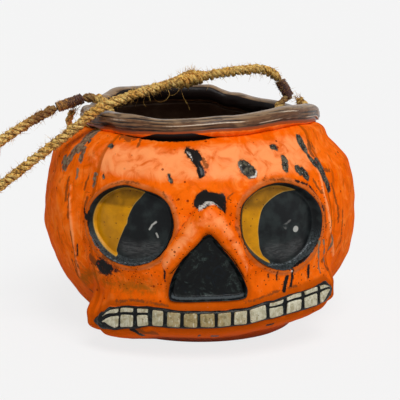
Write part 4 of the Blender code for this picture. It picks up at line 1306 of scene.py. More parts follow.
def make_handle(looks, hair_looks):
    """The long rope between the two bindings, its splice and its loose hairs."""
    route = spline([pivot(RIGHT_BINDING), *HANDLE_ROUTE, pivot(LEFT_BINDING)], 8)
    length = reaches(route)[-1]
    line = evenly(route, round(length / ROPE_STEP))
    reach = reaches(line)
    grown = smoothstep(0.0, END_TAPER, np.minimum(reach, reach[-1] - reach))
    thick = ROPE_DIAMETER * (HANDLE_END_SHARE + (1.0 - HANDLE_END_SHARE) * grown)
    from_left = np.linalg.norm(line - pivot(LEFT_BINDING), axis=1)
    stain = 1.0 - smoothstep(*STAIN_REACH, from_left)
    rope = laid_rope("laid_handle_rope", line, thick, looks, stain=stain)
    place_piece(rope, "handle", "rope_fibre", "handle_rope")
    off_table = line[:, 2] > HAIRS_START
    radius = ROPE_DIAMETER / 2
    fuzz = hairs_on("handle_fuzz", line, radius, HANDLE_FUZZ, hair_looks, off_table)
    place_piece(fuzz, "handle", "rope_fibre")
    hairs = hairs_on("handle_hairs", line, radius, HANDLE_HAIRS, hair_looks, off_table)
    place_piece(hairs, "handle", "rope_fibre")

    spots = spots_along(line, np.linspace(-0.5, 0.5, SPLICE_ROWS) * SPLICE_LENGTH + SPLICE_PLACE)
    swell = np.sin(np.pi * (np.arange(SPLICE_ROWS) + 0.5) / SPLICE_ROWS) ** 0.5
    worked = SPLICE_END_DIAMETER + (SPLICE_DIAMETER - SPLICE_END_DIAMETER) * swell
    splice = laid_rope("worked_splice", spots, worked, looks, SPLICE_PITCH, 0.3)
    place_piece(splice, "handle", "rope_fibre", "rope_splice")
    picks = chance.integers(*TUFT_ROWS, TUFT_HAIRS)
    up = unit((0.0, 0.0, 1.0) + chance.normal(0.0, TUFT_SPREAD, (TUFT_HAIRS, 3)))
    ways = frames(spots)[0][picks] * 0.5
    tuft = fibres("splice_tuft", spots[picks] + up * TUFT_RISE, up, ways, TUFT_LENGTH, hair_looks,
                  END_HAIR_WIDTH, END_HAIR_WILDNESS)
    place_piece(tuft, "handle", "rope_fibre")
    strays = thin_lines("stray_fibres", STRAY_FIBRES, STRAY_THICKNESS, hair_looks)
    place_piece(strays, "handle", "rope_fibre")
    return rope, route, length, [fuzz, hairs, splice, tuft, strays]


def make_rope_eye(side, hole_angle, route, binding, looks, hair_looks):
    """Rope from the end of its binding, round the lip and back out through the hole."""
    near, far = np.array(binding)
    loose = [rim_spot(hole_angle, outward, up) for outward, up in route]
    path = np.concatenate([[far, far + (near - far) * 0.5], spline([near, *loose], 8)])
    line = evenly(path, round(reaches(path)[-1] / ROPE_EYE_STEP))
    inside = (line - near) @ (far - near) > 0.0
    away = np.linalg.norm(line - near, axis=1)
    grown = np.where(inside, 0.0, smoothstep(0.0, CORE_TAPER, away))
    thick = CORE_DIAMETER + (ROPE_DIAMETER - CORE_DIAMETER) * grown
    stain = 1.0 - smoothstep(*EYE_STAIN_REACH, away)
    eye = laid_rope(f"laid_rope_eye_{side}", line, thick, looks, first_turn=0.4, stain=stain)
    place_piece(eye, "bucket", "rope_fibre", f"rope_eye_{side}")
    root = line[-1] + chance.normal(0.0, FRAY_WIDTH, (FRAY_HAIRS, 3))
    aim = unit(frames(line)[0][-1] + chance.normal(0.0, FRAY_SPREAD, (FRAY_HAIRS, 3)))
    fray = fibres(f"frayed_end_{side}", root, aim, aim, FRAY_LENGTH, hair_looks,
                  END_HAIR_WIDTH, END_HAIR_WILDNESS)
    place_piece(fray, "bucket", "rope_fibre")
    hairs = hairs_on(f"rope_eye_hairs_{side}", line, ROPE_DIAMETER / 2, EYE_HAIRS, hair_looks)
    place_piece(hairs, "bucket", "rope_fibre")
    return [eye, fray, hairs]


def make_binding(side, binding, worn, looks, hair_looks):
    """Dark twine wound tight round the rope, turn beside turn."""
    near, far = np.array(binding)
    way = unit(far - near)
    across = unit(np.cross(way, (0.0, 1.0, 0.0)))
    other = np.cross(way, across)
    length = np.linalg.norm(far - near) - 2 * TWINE_MARGIN
    turns = length / TWINE_PITCH
    steps = round(turns * TWINE_STEPS)
    share = np.linspace(0.0, 1.0, steps)
    turn = 2 * np.pi * turns * share
    radius = CORE_DIAMETER / 2 + TWINE_DIAMETER / 2 + TWINE_CLEARANCE
    radius = radius + TWINE_WAVER * np.sin(turn * TWINE_WAVER_TURN)
    spoke = across * np.cos(turn)[:, None] + other * np.sin(turn)[:, None]
    line = near + way * (TWINE_MARGIN + length * share)[:, None] + spoke * radius[:, None]
    sides, others = frames(line)[1:]
    ring = spokes_round(sides, others, 2 * np.pi * np.arange(TWINE_SIDES) / TWINE_SIDES)
    points = (line[:, None] + ring * TWINE_DIAMETER / 2).reshape(-1, 3)
    faces = grid_faces(steps, TWINE_SIDES)
    faces.append(tuple(range(TWINE_SIDES)))
    faces.append(tuple(range((steps - 1) * TWINE_SIDES, steps * TWINE_SIDES)))
    points = points + dented(points, "twine")[:, None]
    crown = np.clip(np.einsum("ijk,ik->ij", ring, spoke), 0.0, 1.0)
    masks = {"worn": np.repeat(worn * share ** 0.7, TWINE_SIDES), "crown": crown}
    piece = make_piece(f"whipping_{side}", points, faces, looks, masks)
    place_piece(piece, "bucket", "tarred_twine", f"binding_{side}")
    hairs = hairs_on(f"whipping_hairs_{side}", line, TWINE_DIAMETER / 2, TWINE_HAIRS, hair_looks)
    place_piece(hairs, "bucket", "rope_fibre")
    return [piece, hairs]


def make_cords():
    looks = [rope_fibre()]
    hair_looks = [loose_fibre()]
    twine = [tarred_twine()]
    rope, route, length, others = make_handle(looks, hair_looks)
    others += make_rope_eye("left", LEFT_HOLE_ANGLE, EYE_ROUTE_LEFT, LEFT_BINDING, looks, hair_looks)
    others += make_rope_eye("right", RIGHT_HOLE_ANGLE, EYE_ROUTE_RIGHT, RIGHT_BINDING, looks, hair_looks)
    others += make_binding("left", LEFT_BINDING, 1.0, twine, hair_looks)
    others += make_binding("right", RIGHT_BINDING, 0.6, twine, hair_looks)


def socket_depth(inside):
    return EYE_DEPTH * smoothstep(*EYE_WALL, inside)


def nose_depth(inside):
    return NOSE_DEPTH * smoothstep(*NOSE_WALL, inside)


def brim(inside):
    """A low raised edge just outside an outline."""
    return BRIM_RISE * hump(inside + BRIM_WIDTH, BRIM_WIDTH)


def face_distances(angle, height):
    """Millimetres inside the nearer eye, and inside the nose."""
    left, right, nose = (inside_distance(line, angle, height) for line in (EYE_LEFT, EYE_RIGHT, NOSE))
    return np.maximum(left, right), nose


def shell_radius(angle, height, eyes, nose):
    """The clay as it was pressed: dents, sockets with raised brims, and scratched lines."""
    radius = outer_radius(angle, height)
    plain = on_pot(angle, height, radius)
    fade = smoothstep(*DENTS_GROW, height) * (1.0 - smoothstep(*DENTS_FADE, height))
    fade = fade * (1.0 - RECESS_CALM * smoothstep(*RECESS_CALM_REACH, np.maximum(eyes, nose)))
    radius = radius + dented(plain, "wall") * fade
    radius = radius + dented(plain * STREAK_STRETCH, "wall streaks") * fade
    under = DISH_ROOM * (smoothstep(*DISH_ROOM_EDGE, eyes) + smoothstep(*DISH_ROOM_EDGE, nose))
    radius = radius + brim(eyes) - socket_depth(eyes) - nose_depth(nose) - under
    for line in FACE_EDGES:
        edge = stroke_distance(line, angle, height)
        radius = radius + FACE_EDGE_RISE * hump(edge, FACE_EDGE_WIDTH)
    for line, half in CREASES:
        away = smoothstep(0.0, half * CREASE_SLOPE, stroke_distance(line, angle, height))
        radius = radius - CREASE_DEPTH * (1.0 - away)
    for line, half in CHIP_STROKES:
        near, far = (half * share for share in CHIP_SLOPE)
        away = smoothstep(near, far, stroke_distance(line, angle, height))
        radius = radius - CHIP_DEPTH * (1.0 - away)
    for patch in (FOREHEAD_PATCH, BLOB_PATCH):
        inside = inside_distance(patch, angle, height)
        radius = radius + PATCH_RISE * smoothstep(*PATCH_SLOPE, inside)
    return radius


def specked_mask(around, height):
    """Where paint was spattered: round the nose and eyes, and thinly elsewhere on the face."""
    face = between(SPECKED_HEIGHTS, height)
    return 0.25 + 0.75 * face * smoothstep(*SPECKED_SIDES, np.abs(around))


def shell_masks(angle, height, eyes, nose):
    """How far each kind of paint covers the outside of the pot."""
    middle = table_value(MOUTH_LINE, angle, 1)
    half = table_value(MOUTH_LINE, angle, 2)
    off_ends = np.maximum(MOUTH_LINE[0][0] - angle, angle - MOUTH_LINE[-1][0]) * FACE_SCALE
    mouth = np.where(off_ends > 0.0, -off_ends, half - np.abs(height - middle))
    painted = (off_ends > MOUTH_PAINT_ENDS[0]) * (off_ends < MOUTH_PAINT_ENDS[1])
    around = wrapped(angle)
    run = between(RUN_ANGLES, angle)
    blacks = [
        edge_mask(eyes + PAINT_LAP, RECESS_SOFTNESS),
        edge_mask(nose + PAINT_LAP, RECESS_SOFTNESS),
        edge_mask(mouth + PAINT_LAP, MOUTH_SOFTNESS) * painted,
        strokes_mask(BLACK_STROKES, angle, height, STROKE_SOFTNESS["black"]),
        edge_mask(inside_distance(FOREHEAD_PATCH, angle, height), PATCH_SOFTNESS),
        edge_mask(inside_distance(COIL_PATCH, angle, height), PATCH_SOFTNESS),
        edge_mask(inside_distance(CHEEK_SMUDGE, angle, height) - SMUDGE_INSET, SMUDGE_SOFTNESS),
        edge_mask(height - NECK_HEIGHT + RUN_REACH * run, RUN_SOFTNESS) * (run > 0.0),
    ]
    # Painted highlight on the brow, in a ring just outside each eye and along the face's edges
    brow = 0.9 * between(BROW_HEIGHTS, height) * smoothstep(*BROW_SIDES, np.abs(around))
    painted_highlights = [hump(eyes + PAINTED_HIGHLIGHT_RING, PAINTED_HIGHLIGHT_WIDTH), brow]
    painted_highlights += [hump(stroke_distance(line, angle, height), PAINTED_HIGHLIGHT_WIDTH) for line in FACE_EDGES]
    chips = strokes_mask(CHIP_STROKES, angle, height, STROKE_SOFTNESS["chip"])
    blob = edge_mask(inside_distance(BLOB_PATCH, angle, height), PATCH_SOFTNESS)
    recess = np.maximum(np.maximum(eyes, nose), mouth)
    return {
        "black": np.maximum.reduce(blacks),
        "chip": np.maximum(chips, blob),
        "grey": strokes_mask(GREY_STROKES, angle, height, STROKE_SOFTNESS["grey"]),
        "brown": strokes_mask(BROWN_STROKES, angle, height, STROKE_SOFTNESS["brown"]),
        "glint": strokes_mask(GLINT_STROKES, angle, height, STROKE_SOFTNESS["glint"]),
        "olive": edge_mask(inside_distance(OLIVE_WASH, angle, height), OLIVE_SOFTNESS),
        "recess_darkening": smoothstep(*RECESS_DARKENING_REACH, recess),
        "painted_highlight": np.maximum.reduce(painted_highlights),
        "sides": smoothstep(*SIDES_START, np.abs(around)),
        # painted shade, darker towards the bottom
        "low": smoothstep(*LOW_SHADE_HEIGHTS, height),
        "specked": specked_mask(around, height),
    }


def make_shell(looks):
    """The pot: across the foot, up the outside, over the neck, down the inside, and in over the
    floor.  The looks are for the outside, the inside and the foot."""
    face = np.arange(-FACE_REACH, FACE_REACH, FACE_STEP)
    behind = np.arange(FACE_REACH, 360.0 - FACE_REACH, BACK_STEP)
    columns = np.concatenate([face, behind])
    count = len(columns)
    share = np.linspace(0.0, 1.0, OUTER_ROWS + 1)
    outer_heights = NECK_HEIGHT * (share - ROW_CROWDING * np.sin(2 * np.pi * share))
    angle, height = np.meshgrid(columns, outer_heights)
    recesses = face_distances(angle, height)
    outside = on_pot(angle, height, shell_radius(angle, height, *recesses))
    masks = shell_masks(angle, height, *recesses)

    share = np.linspace(0.0, 1.0, INNER_ROWS + 1)[1:]
    inner_heights = NECK_HEIGHT + (FLOOR - NECK_HEIGHT) * share
    angle, height = np.meshgrid(columns, inner_heights)
    rounded = FLOOR_ROUNDING * (1.0 - np.sqrt(np.clip((height - FLOOR) / FLOOR_ROUNDING, 0.0, 1.0)))
    inner = side_radius(height) - WALL - rounded * FLOOR_ROUNDING_SHARE
    plain = on_pot(angle, height, inner)
    inner = inner + dented(plain, "inside") + THROWN_RING_DEPTH * np.sin(height * THROWN_RING_TURN)
    inside = on_pot(angle, height, inner)

    rings = np.linspace(0.0, 1.0, FLOOR_ROWS + 1)[1:-1, None]
    foot = on_pot(columns, np.zeros(count), FOOT_RADIUS * rings)
    floor = on_pot(columns, np.full(count, FLOOR), inner[-1] * rings[::-1])
    points = np.concatenate([foot, outside, inside, floor])
    faces = tipped_faces(len(points), count)
    foot_faces = len(foot) * count
    face_looks = np.full(len(faces), 1)
    face_looks[:foot_faces] = 2
    face_looks[foot_faces:foot_faces + OUTER_ROWS * count] = 0
    face_looks[-2 * count::2] = 2
    flat = np.concatenate([points.reshape(-1, 3), [(0.0, 0.0, 0.0), (0.0, 0.0, FLOOR)]])
    after_outside = len(flat) - (len(foot) + len(outside)) * count
    held = {}
    for name, values in masks.items():
        held[name] = np.pad(values.ravel(), (foot_faces, after_outside))
    shell = make_piece("glazed_pot", flat, faces, looks, held, face_looks)
    cut_rope_holes(shell)
    return place_piece(shell, "bucket", "orange_glaze", "pot_body")


def cut_rope_holes(shell):
    """Two round holes straight out through the neck, under the lip."""
    cutters = []
    for side, hole_angle in (("left", LEFT_HOLE_ANGLE), ("right", RIGHT_HOLE_ANGLE)):
        turn = math.radians(hole_angle)
        way = np.array((math.sin(turn), -math.cos(turn), 0.0))
        across = np.array((math.cos(turn), math.sin(turn), 0.0))
        middle = rim_spot(hole_angle, 0.0, -HOLE_BELOW_CREST)
        corner = 2 * np.pi * np.arange(HOLE_SIDES) / HOLE_SIDES
        spokes = np.outer(np.cos(corner), across) + np.outer(np.sin(corner), (0.0, 0.0, 1.0))
        ring = middle + spokes * HOLE_DIAMETER / 2
        points = np.concatenate([ring - way * HOLE_CUT_LENGTH / 2, ring + way * HOLE_CUT_LENGTH / 2])
        faces = [tuple(reversed(face)) for face in tube_faces(2, HOLE_SIDES)]
        cutter = make_piece(f"hole_cutter_{side}", points, faces, list(shell.data.materials))
        cutters.append(cutter)
        boolean = shell.modifiers.new(f"hole_{side}", "BOOLEAN")
        boolean.operation = "DIFFERENCE"
        boolean.solver = "EXACT"
        boolean.object = cutter
    bpy.context.view_layer.update()
    solved = bpy.data.meshes.new_from_object(
        shell.evaluated_get(bpy.context.evaluated_depsgraph_get()))
    shell.modifiers.clear()
    shell.data = solved
    for cutter in cutters:
        bpy.data.objects.remove(cutter, do_unlink=True)


def make_rim(looks):
    """The rolled lip: fine finger ridges over one deep crease, with a lower roll beneath it."""
    columns = np.arange(0.0, 360.0, RIM_STEP)
    across, along = squared_round(RIM_SIDES, RIM_SQUARENESS)
    angle, across = np.meshgrid(columns, across, indexing="ij")
    along = np.broadcast_to(along, angle.shape)
    points = on_pot(angle, NECK_HEIGHT, RIM_RADIUS + RIM_WIDTH / 2 * across)
    points[..., 2] += SEAT_GAP + RIM_HEIGHT / 2 * (1.0 + along)
    spin = np.radians(angle)
    out = unit(np.stack([np.sin(spin) * across, -np.cos(spin) * across, along], axis=-1))
    ring = np.stack([np.sin(spin), np.cos(spin), 0.0 * spin], axis=-1) * RIM_RADIUS
    around = wrapped(angle)
    level = np.arctan2(along, across)
    above = level - table_value(RIM_CREASE, around) - dented(ring, "lip grooves")
    groove = np.zeros(angle.shape)
    drawn = np.zeros(angle.shape)
    for place, width, depth, loose in RIM_GROOVES:
        strength = np.clip(0.6 + loose * unevenness(ring, 17.0, 20 + int(place * 10)), 0.1, 1.0)
        dip = strength * hump(above - place, width)
        groove = groove + depth * dip
        drawn = np.maximum(drawn, dip)
    outside = smoothstep(*RIM_OUTSIDE, across)
    inner = smoothstep(*RIM_INSIDE, across)
    fold = hump(around - FOLD_ANGLE, FOLD_SPREAD) * smoothstep(*FOLD_LEVELS, level) * outside
    hollow = hump(around - HOLLOW_ANGLE, HOLLOW_SPREAD)
    hollow = hollow * hump(level - HOLLOW_LEVEL[0], HOLLOW_LEVEL[1]) * outside
    bare = between(ORANGE_ANGLES, around) * outside
    roll = smoothstep(*LOWER_ROLL_EDGE, above) * smoothstep(*LOWER_ROLL_END, level) * bare
    lift = dented(points, "lip") - groove + FOLD_RISE * (fold - hollow) + LOWER_ROLL_RISE * roll
    points = points + out * lift[..., None]
    points[..., 2] -= RIM_SINKS * smoothstep(*RIM_UNDERSIDE, along)
    gleam = np.zeros(angle.shape)
    for place in GLEAM_LEVELS:
        broken = smoothstep(-0.35, 0.4, unevenness(ring, 16.0, 30 + int(place * 10)))
        gleam = np.maximum(gleam, broken * hump(above - place, GLEAM_WIDTH))
    off_run = (1.0 - between(RUN_ANGLES, around)) * 1.3
    masks = {
        # grooves between the ridges, and a painted shadow in the hollow beside the fold
        "crease": np.clip(np.maximum(drawn * 0.8, hollow * 1.2), 0.0, 1.0),
        "pooled": np.maximum(smoothstep(*POOLED_EDGE, above + off_run) * outside, inner),
        "gleam": gleam,
        "inside": inner,
        "crest": smoothstep(*RIM_CREST, along) * (1.0 - inner),
        "orange": smoothstep(*ORANGE_EDGE, above) * bare,
        "reddish": between(REDDISH_EDGES, above) * outside,
    }
    faces = grid_faces(len(columns), RIM_SIDES, wrap_rows=True)
    piece = make_piece("rolled_lip", points.reshape(-1, 3), faces, looks, masks)
    return place_piece(piece, "bucket", "brown_glaze", "rim_coil")


def even_rings(count, growth):
    """Rings of even area as shares of an outline, the last one past it by the growth."""
    return np.sqrt(np.linspace(0.0, 1.0, count + 1)[1:]) * (1.0 + growth)


def polar_places(outline, rings, around):
    """(angle, height) at rings from the middle of an outline to its edge."""
    edge = spline(outline, 8, closed=True) * (FACE_SCALE, 1.0)
    edge = evenly(np.concatenate([edge, edge[:1]]), around + 1)[:-1]
    centre = edge.mean(axis=0)
    places = centre + (edge - centre)[None] * rings[:, None, None]
    return places[..., 0] / FACE_SCALE, places[..., 1]


def make_patch(name, outline, rings, around, front, back, looks, masks_for):
    """A closed piece on the face inside an outline, between two surfaces."""
    angle, height = polar_places(outline, rings, around)
    spot = (np.array([angle[0].mean()]), np.array([height[0].mean()]))
    skins = [on_pot(angle, height, skin(angle, height)).reshape(-1, 3) for skin in (front, back)]
    middles = [on_pot(*spot, skin(*spot)) for skin in (front, back)]
    faces = grid_faces(len(rings), around)
    shift = len(rings) * around
    faces += [tuple(corner + shift for corner in reversed(face)) for face in faces]
    outer = shift - around
    for column in range(around):
        after = (column + 1) % around
        faces.append((outer + column, outer + after, shift + outer + after, shift + outer + column))
        faces.append((after, column, 2 * shift))
        faces.append((shift + column, shift + after, 2 * shift + 1))
    masks = {}
    for mask, values in masks_for(angle, height).items():
        centre = values[0].mean()
        masks[mask] = np.concatenate([values.ravel(), values.ravel(), [centre, centre]])
    return make_piece(name, np.concatenate([*skins, *middles]), faces, looks, masks)


def make_eye(side, outline, yellow, inset, socket_shadow_heights, glints, arcs, pale, brushed, looks):
    """The dish that lines a socket, with its brushwork; the yellow stays inset from the edge."""
    def front(angle, height):
        inside = inside_distance(outline, angle, height)
        plain = outer_radius(angle, height)
        dents = dented(on_pot(angle, height, plain), "dish") * smoothstep(*DISH_DENTS_START, inside)
        return plain + brim(inside) * DISH_BRIM_SHARE - socket_depth(inside) + DISH_PROUD + dents

    def back(angle, height):
        return front(angle, height) - DISH_THICKNESS

    def masks(angle, height):
        inside = inside_distance(outline, angle, height)
        low = smoothstep(*WALL_PAINT_HEIGHTS, height)
        painted = np.minimum(inside - inset, inside_distance(yellow, angle, height))
        away = stroke_distance(brushed, angle, height, BRUSHED_FARTHEST)
        return {
            "yellow": edge_mask(painted, YELLOW_SOFTNESS),
            "socket_shadow": smoothstep(*socket_shadow_heights, height),
            "wall": (1.0 - smoothstep(*WALL_PAINT_EDGE, inside)) * low,
            # a painted highlight line low in the dish
            "pale": edge_mask(HIGHLIGHT_LINE_HALF - stroke_distance(pale, angle, height), HIGHLIGHT_LINE_SOFTNESS),
            "brushed": 1.0 - smoothstep(*BRUSHED_REACH, away),
            "glint": strokes_mask(glints, angle, height, GLINT_SOFTNESS),
            "faint": strokes_mask(arcs, angle, height, ARC_SOFTNESS),
        }

    rings = even_rings(EYE_RINGS, DISH_OVERLAP / DISH_RADIUS)
    piece = make_patch(f"painted_eye_{side}", outline, rings, EYE_AROUND, front, back, looks, masks)
    return place_piece(piece, "bucket", "black_glaze", f"eye_dish_{side}")


def make_nose(looks):
    """The sunk three-cornered plate, with a low lip along its foot."""
    def front(angle, height):
        inside = inside_distance(NOSE, angle, height)
        plain = outer_radius(angle, height)
        lip = NOSE_LIP_RISE * hump(inside - NOSE_LIP_PLACE, NOSE_LIP_WIDTH)
        lip = lip * smoothstep(*NOSE_LIP_HEIGHTS, height)
        dents = dented(on_pot(angle, height, plain), "nose") * smoothstep(*NOSE_DENTS_START, inside)
        return plain - nose_depth(inside) + NOSE_PROUD + lip + dents

    def back(angle, height):
        lip = NOSE_LIP_RISE * smoothstep(*NOSE_LIP_HEIGHTS, height)
        return front(angle, height) - NOSE_THICKNESS - lip

    def masks(angle, height):
        inside = inside_distance(NOSE, angle, height)
        # A painted highlight on the lip along the nose's foot
        pale = hump(inside - NOSE_HIGHLIGHT_PLACE, NOSE_HIGHLIGHT_WIDTH)
        return {"pale": pale * smoothstep(*NOSE_HIGHLIGHT_HEIGHTS, height)}

    rings = even_rings(NOSE_RINGS, NOSE_OVERLAP_SHARE)
    piece = make_patch("nose_recess", NOSE, rings, NOSE_AROUND, front, back, looks, masks)
    return place_piece(piece, "bucket", "black_glaze", "nose_plate")


def make_bridge(looks):
    """The fat coil of clay bent over the nose and pressed down at both feet."""
    rows = spline(BRIDGE, 14)
    shares = np.sin(np.linspace(-0.5, 0.5, BRIDGE_COLUMNS) * np.pi)
    inward = (1.0 + shares) / 2
    angle = rows[:, None, 0] + (rows[:, None, 2] - rows[:, None, 0]) * inward
    height = rows[:, None, 1] + (rows[:, None, 3] - rows[:, None, 1]) * inward
    order = np.arange(len(rows))
    ends = np.minimum(order, order[::-1]) / BRIDGE_CLOSES
    closing = np.sqrt(np.clip(ends, 0.0, 1.0))
    bulge = np.sqrt(np.clip(1.0 - np.abs(shares) ** BRIDGE_SQUARENESS, 0.0, 1.0))
    plain = outer_radius(angle, height)
    rise = rows[:, None, 4] * closing[:, None] * bulge[None, :]
    place = on_pot(angle, height, plain)
    rise = rise * (1.0 + dented(place, "coil thickness")) + dented(place, "coil") * bulge
    front = on_pot(angle, height, plain - BRIDGE_SINKS[0] + rise)
    back = on_pot(angle, height, plain - BRIDGE_SINKS[1])
    patch = edge_mask(inside_distance(COIL_PATCH, angle, height), PATCH_SOFTNESS)
    masks = {
        "black": np.maximum(patch, smoothstep(0.9, 1.0, inward) * 0.8),
        # Painted highlight along the coil's crest
        "painted_highlight": hump(inward - 0.4, 0.28) * 0.75,
        "glint": edge_mask(0.9 - stroke_distance(COIL_SHINE, angle, height), 0.9) * 0.75,
        # darker orange along the coil's inner side, by the nose
        "recess_darkening": smoothstep(0.7, 1.0, inward) * 0.9,
        "specked": 1.0,
    }
    for name in ("chip", "grey", "brown", "olive", "sides", "low"):
        masks[name] = 0.0
    piece = make_band("nose_coil", front, back, looks, masks)
    return place_piece(piece, "bucket", "orange_glaze", "nose_bridge")


def make_mouth(looks):
    """The band across the jaw in which the teeth are set."""
    angles = np.linspace(MOUTH_LINE[0][0], MOUTH_LINE[-1][0], MOUTH_COLUMNS)
    shares = np.sin(np.linspace(-0.5, 0.5, MOUTH_ROWS) * np.pi)
    middle = table_value(MOUTH_LINE, angles, 1)
    half = table_value(MOUTH_LINE, angles, 2)
    angle = np.repeat(angles[:, None], len(shares), axis=1)
    height = middle[:, None] + half[:, None] * shares
    plain = outer_radius(angle, height)
    place = on_pot(angle, height, plain)
    ends = np.clip(half / MOUTH_TAPER, 0.0, 1.0)
    rise = MOUTH_RISE * (1.0 - np.abs(shares) ** MOUTH_ROUNDNESS)[None, :] * ends[:, None]
    front = on_pot(angle, height, plain - MOUTH_SINKS[0] + rise + dented(place, "band"))
    back = on_pot(angle, height, plain - MOUTH_SINKS[1])
    top = UPPER_TOOTH_TOP * half + MOUTH_LINES[1]
    bottom = LOWER_TOOTH_BOTTOM * half - MOUTH_LINES[0]
    level = height - middle[:, None]
    past_teeth = np.maximum(TOOTH_EDGES[0] - angle, angle - TOOTH_EDGES[-1]) * FACE_SCALE
    inside = np.minimum(top[:, None] - level, level - bottom[:, None])
    inside = inside + dented(place, "band paint")
    inside = np.where(past_teeth > -1.0, 2.0, inside)
    piece = make_band("mouth_band", front, back, looks, {"orange": edge_mask(-inside, 0.8)})
    return place_piece(piece, "bucket", "black_glaze", "mouth_lip")


def make_tooth(name, node, start, end, low, high, stain, looks, pinch=None):
    """One tooth: a flat square of clay, a little crooked, pressed onto the band; an end tooth is
    pinched, given as (the angle of its point, the share of its height where the point is)."""
    rings, domes, dark = np.array(TOOTH_SECTION).T
    lean, slant, swell, blunt = chance.uniform(-1.0, 1.0, 4)
    across, up = squared_round(TOOTH_SIDES, TOOTH_SQUARENESS + TOOTH_BLUNTNESS * blunt)
    wide = rings[:, None] * across
    tall = rings[:, None] * up
    share = (tall * (1.0 + TOOTH_LEAN * lean * wide) + 1.0) / 2
    angle = (start + end) / 2 + (end - start) / 2 * (wide + TOOTH_LEAN * slant * tall)
    if pinch:
        pinched_end, level = pinch
        along = np.abs(angle - pinched_end) / (end - start)
        grown = smoothstep(0.0, PINCH_REACH, along)
        share = level + (share - level) * (PINCHED_SHARE + (1.0 - PINCHED_SHARE) * grown)
    middle = table_value(MOUTH_LINE, angle, 1)
    half = table_value(MOUTH_LINE, angle, 2)
    height = middle + half * (low + (high - low) * share)
    base = outer_radius(angle, height) - MOUTH_SINKS[0] + MOUTH_RISE
    rise = TOOTH_RISE * (1.0 + TOOTH_SWELL * swell) * domes[:, None]
    rough = dented(on_pot(angle, height, base), "tooth") * domes[:, None]
    radius = base + rise + rough
    radius[-1] = base[-1] - TOOTH_SINKS
    front = on_pot(angle, height, radius)
    centre = front[0].mean(axis=0)
    centre = centre + unit(centre * (1.0, 1.0, 0.0)) * TOOTH_DOME
    sunk = front[-1].mean(axis=0)
    points = np.concatenate([front.reshape(-1, 3), [centre, sunk]])
    faces = tipped_faces(len(rings), TOOTH_SIDES)
    masks = {
        "edge": np.append(np.repeat(dark, TOOTH_SIDES), (0.0, 1.0)),
        "stain": np.full(len(points), stain),
    }
    piece = make_piece(name, points, faces, looks, masks)
    return place_piece(piece, "bucket", "ivory_glaze", node)


def make_teeth(looks):
    """Fourteen lower teeth, and slivers of upper ones where the mouth opens wider."""
    upper = 0
    for index, (start, end) in enumerate(zip(TOOTH_EDGES, TOOTH_EDGES[1:])):
        middle = (start + end) / 2
        start = start + TOOTH_GAPS[index] / 2 / FACE_SCALE
        end = end - TOOTH_GAPS[index + 1] / 2 / FACE_SCALE
        parted = max(float(smoothstep(*MOUTH_OPENS_LEFT, middle)),
                     float(smoothstep(*MOUTH_OPENS_RIGHT, middle)))
        top = UPPER_TOOTH_TOP - (UPPER_TOOTH_SHARE + ROW_GAP_SHARE) * parted
        stain = STAIN_SHARES[0] + STAIN_SHARES[1] * hump(index - STAINED_TEETH[0], STAINED_TEETH[1])
        name = f"lower_tooth_{index + 1:02d}"
        pinch = {0: (start, 0.7), len(TOOTH_EDGES) - 2: (end, 1.0)}.get(index)
        make_tooth(f"glazed_{name}", name, start, end, LOWER_TOOTH_BOTTOM, top, stain, looks, pinch)
        if parted > 0.5:
            upper += 1
            name = f"upper_tooth_{upper:02d}"
            low = top + ROW_GAP_SHARE
            pinch = (pinch[0], 0.0) if pinch else None
            make_tooth(f"glazed_{name}", name, start, end, low, UPPER_TOOTH_TOP, stain, looks, pinch)


def seen_rays(tree):
    """1 for what the camera sees, straight or in gloss or glass, and 0 for what lights."""
    rays = tree.nodes.new("ShaderNodeLightPath")
    seen = rays.outputs["Is Camera Ray"]
    for name in ("Is Glossy Ray", "Is Transmission Ray"):
        either = tree.nodes.new("ShaderNodeMath")
        either.operation = "MAXIMUM"
        tree.links.new(seen, either.inputs[0])
        tree.links.new(rays.outputs[name], either.inputs[1])
        seen = either.outputs[0]
    return seen


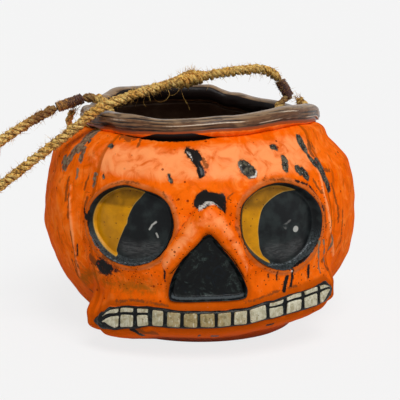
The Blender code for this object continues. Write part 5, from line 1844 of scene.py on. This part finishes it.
def make_floor():
    """A plain pale table top that fills the picture and keeps the shadow."""
    finish = Finish("pale_floor", roughness=0.9)
    grain = finish.noise(60.0, 2.0)
    finish.link(finish.mix(grain, paint(240, 240, 240), paint(*PALE)), "Base Color")
    glow = finish.node("ShaderNodeEmission", {}, {"Color": paint(247, 247, 247), "Strength": 1.0})
    shader = Value(finish, finish.shader.outputs[0])
    share = Value(finish, seen_rays(finish.tree)) * TABLE_GLOW
    mixed = finish.node("ShaderNodeMixShader", {}, {0: share, 1: shader, 2: glow})
    finish.tree.links.new(mixed.socket, finish.tree.nodes["Material Output"].inputs["Surface"])
    corners = ((-1, -1, 0), (1, -1, 0), (1, 1, 0), (-1, 1, 0))
    points = np.array(corners) * TABLE_HALF
    floor = make_piece("table_top", points, [(0, 1, 2, 3)], [finish.material])
    floor.location.z = -TABLE_DROP * MM


def make_lights():
    """Soft light from all round, a pale background, and two broad lamps."""
    world = bpy.data.worlds.new("studio")
    world.use_nodes = True
    tree = world.node_tree
    soft = tree.nodes["Background"]
    soft.inputs["Color"].default_value = (1.0, 1.0, 1.0, 1.0)
    soft.inputs["Strength"].default_value = SOFT_LIGHT
    pale = tree.nodes.new("ShaderNodeBackground")
    pale.inputs["Color"].default_value = paint(*PALE)
    choice = tree.nodes.new("ShaderNodeMixShader")
    tree.links.new(seen_rays(tree), choice.inputs[0])
    tree.links.new(soft.outputs[0], choice.inputs[1])
    tree.links.new(pale.outputs[0], choice.inputs[2])
    tree.links.new(choice.outputs[0], tree.nodes["World Output"].inputs["Surface"])
    bpy.context.scene.world = world
    for name, place, spread, power in LAMPS:
        lamp = bpy.data.lights.new(name, "SUN")
        lamp.angle = math.radians(spread)
        lamp.energy = power
        made = bpy.data.objects.new(name, lamp)
        made.location = Vector(place) * MM
        aim = Vector(place) - Vector(CAMERA_TARGET)
        made.rotation_euler = aim.to_track_quat("Z", "Y").to_euler()
        bpy.context.scene.collection.objects.link(made)
    bpy.context.scene.view_settings.view_transform = "Standard"


def main():
    make_camera()
    make_cords()
    orange = orange_glaze()
    black = [black_glaze()]
    eyes = [eye_paint()]
    make_shell([orange, inner_glaze(), bare_clay()])
    make_rim([brown_glaze()])
    make_eye("left", EYE_LEFT, YELLOW_LEFT, YELLOW_INSET_LEFT, SOCKET_SHADOW_HEIGHTS_LEFT,
             GLINTS_LEFT, (), HIGHLIGHT_LINE_LEFT, BRUSHED_LEFT, eyes)
    make_eye("right", EYE_RIGHT, YELLOW_RIGHT, YELLOW_INSET_RIGHT, SOCKET_SHADOW_HEIGHTS_RIGHT,
             GLINTS_RIGHT, ARCS_RIGHT, HIGHLIGHT_LINE_RIGHT, BRUSHED_RIGHT, eyes)
    make_nose(black)
    make_bridge([orange])
    make_mouth(black)
    make_teeth([ivory_glaze()])
    make_floor()
    make_lights()


main()
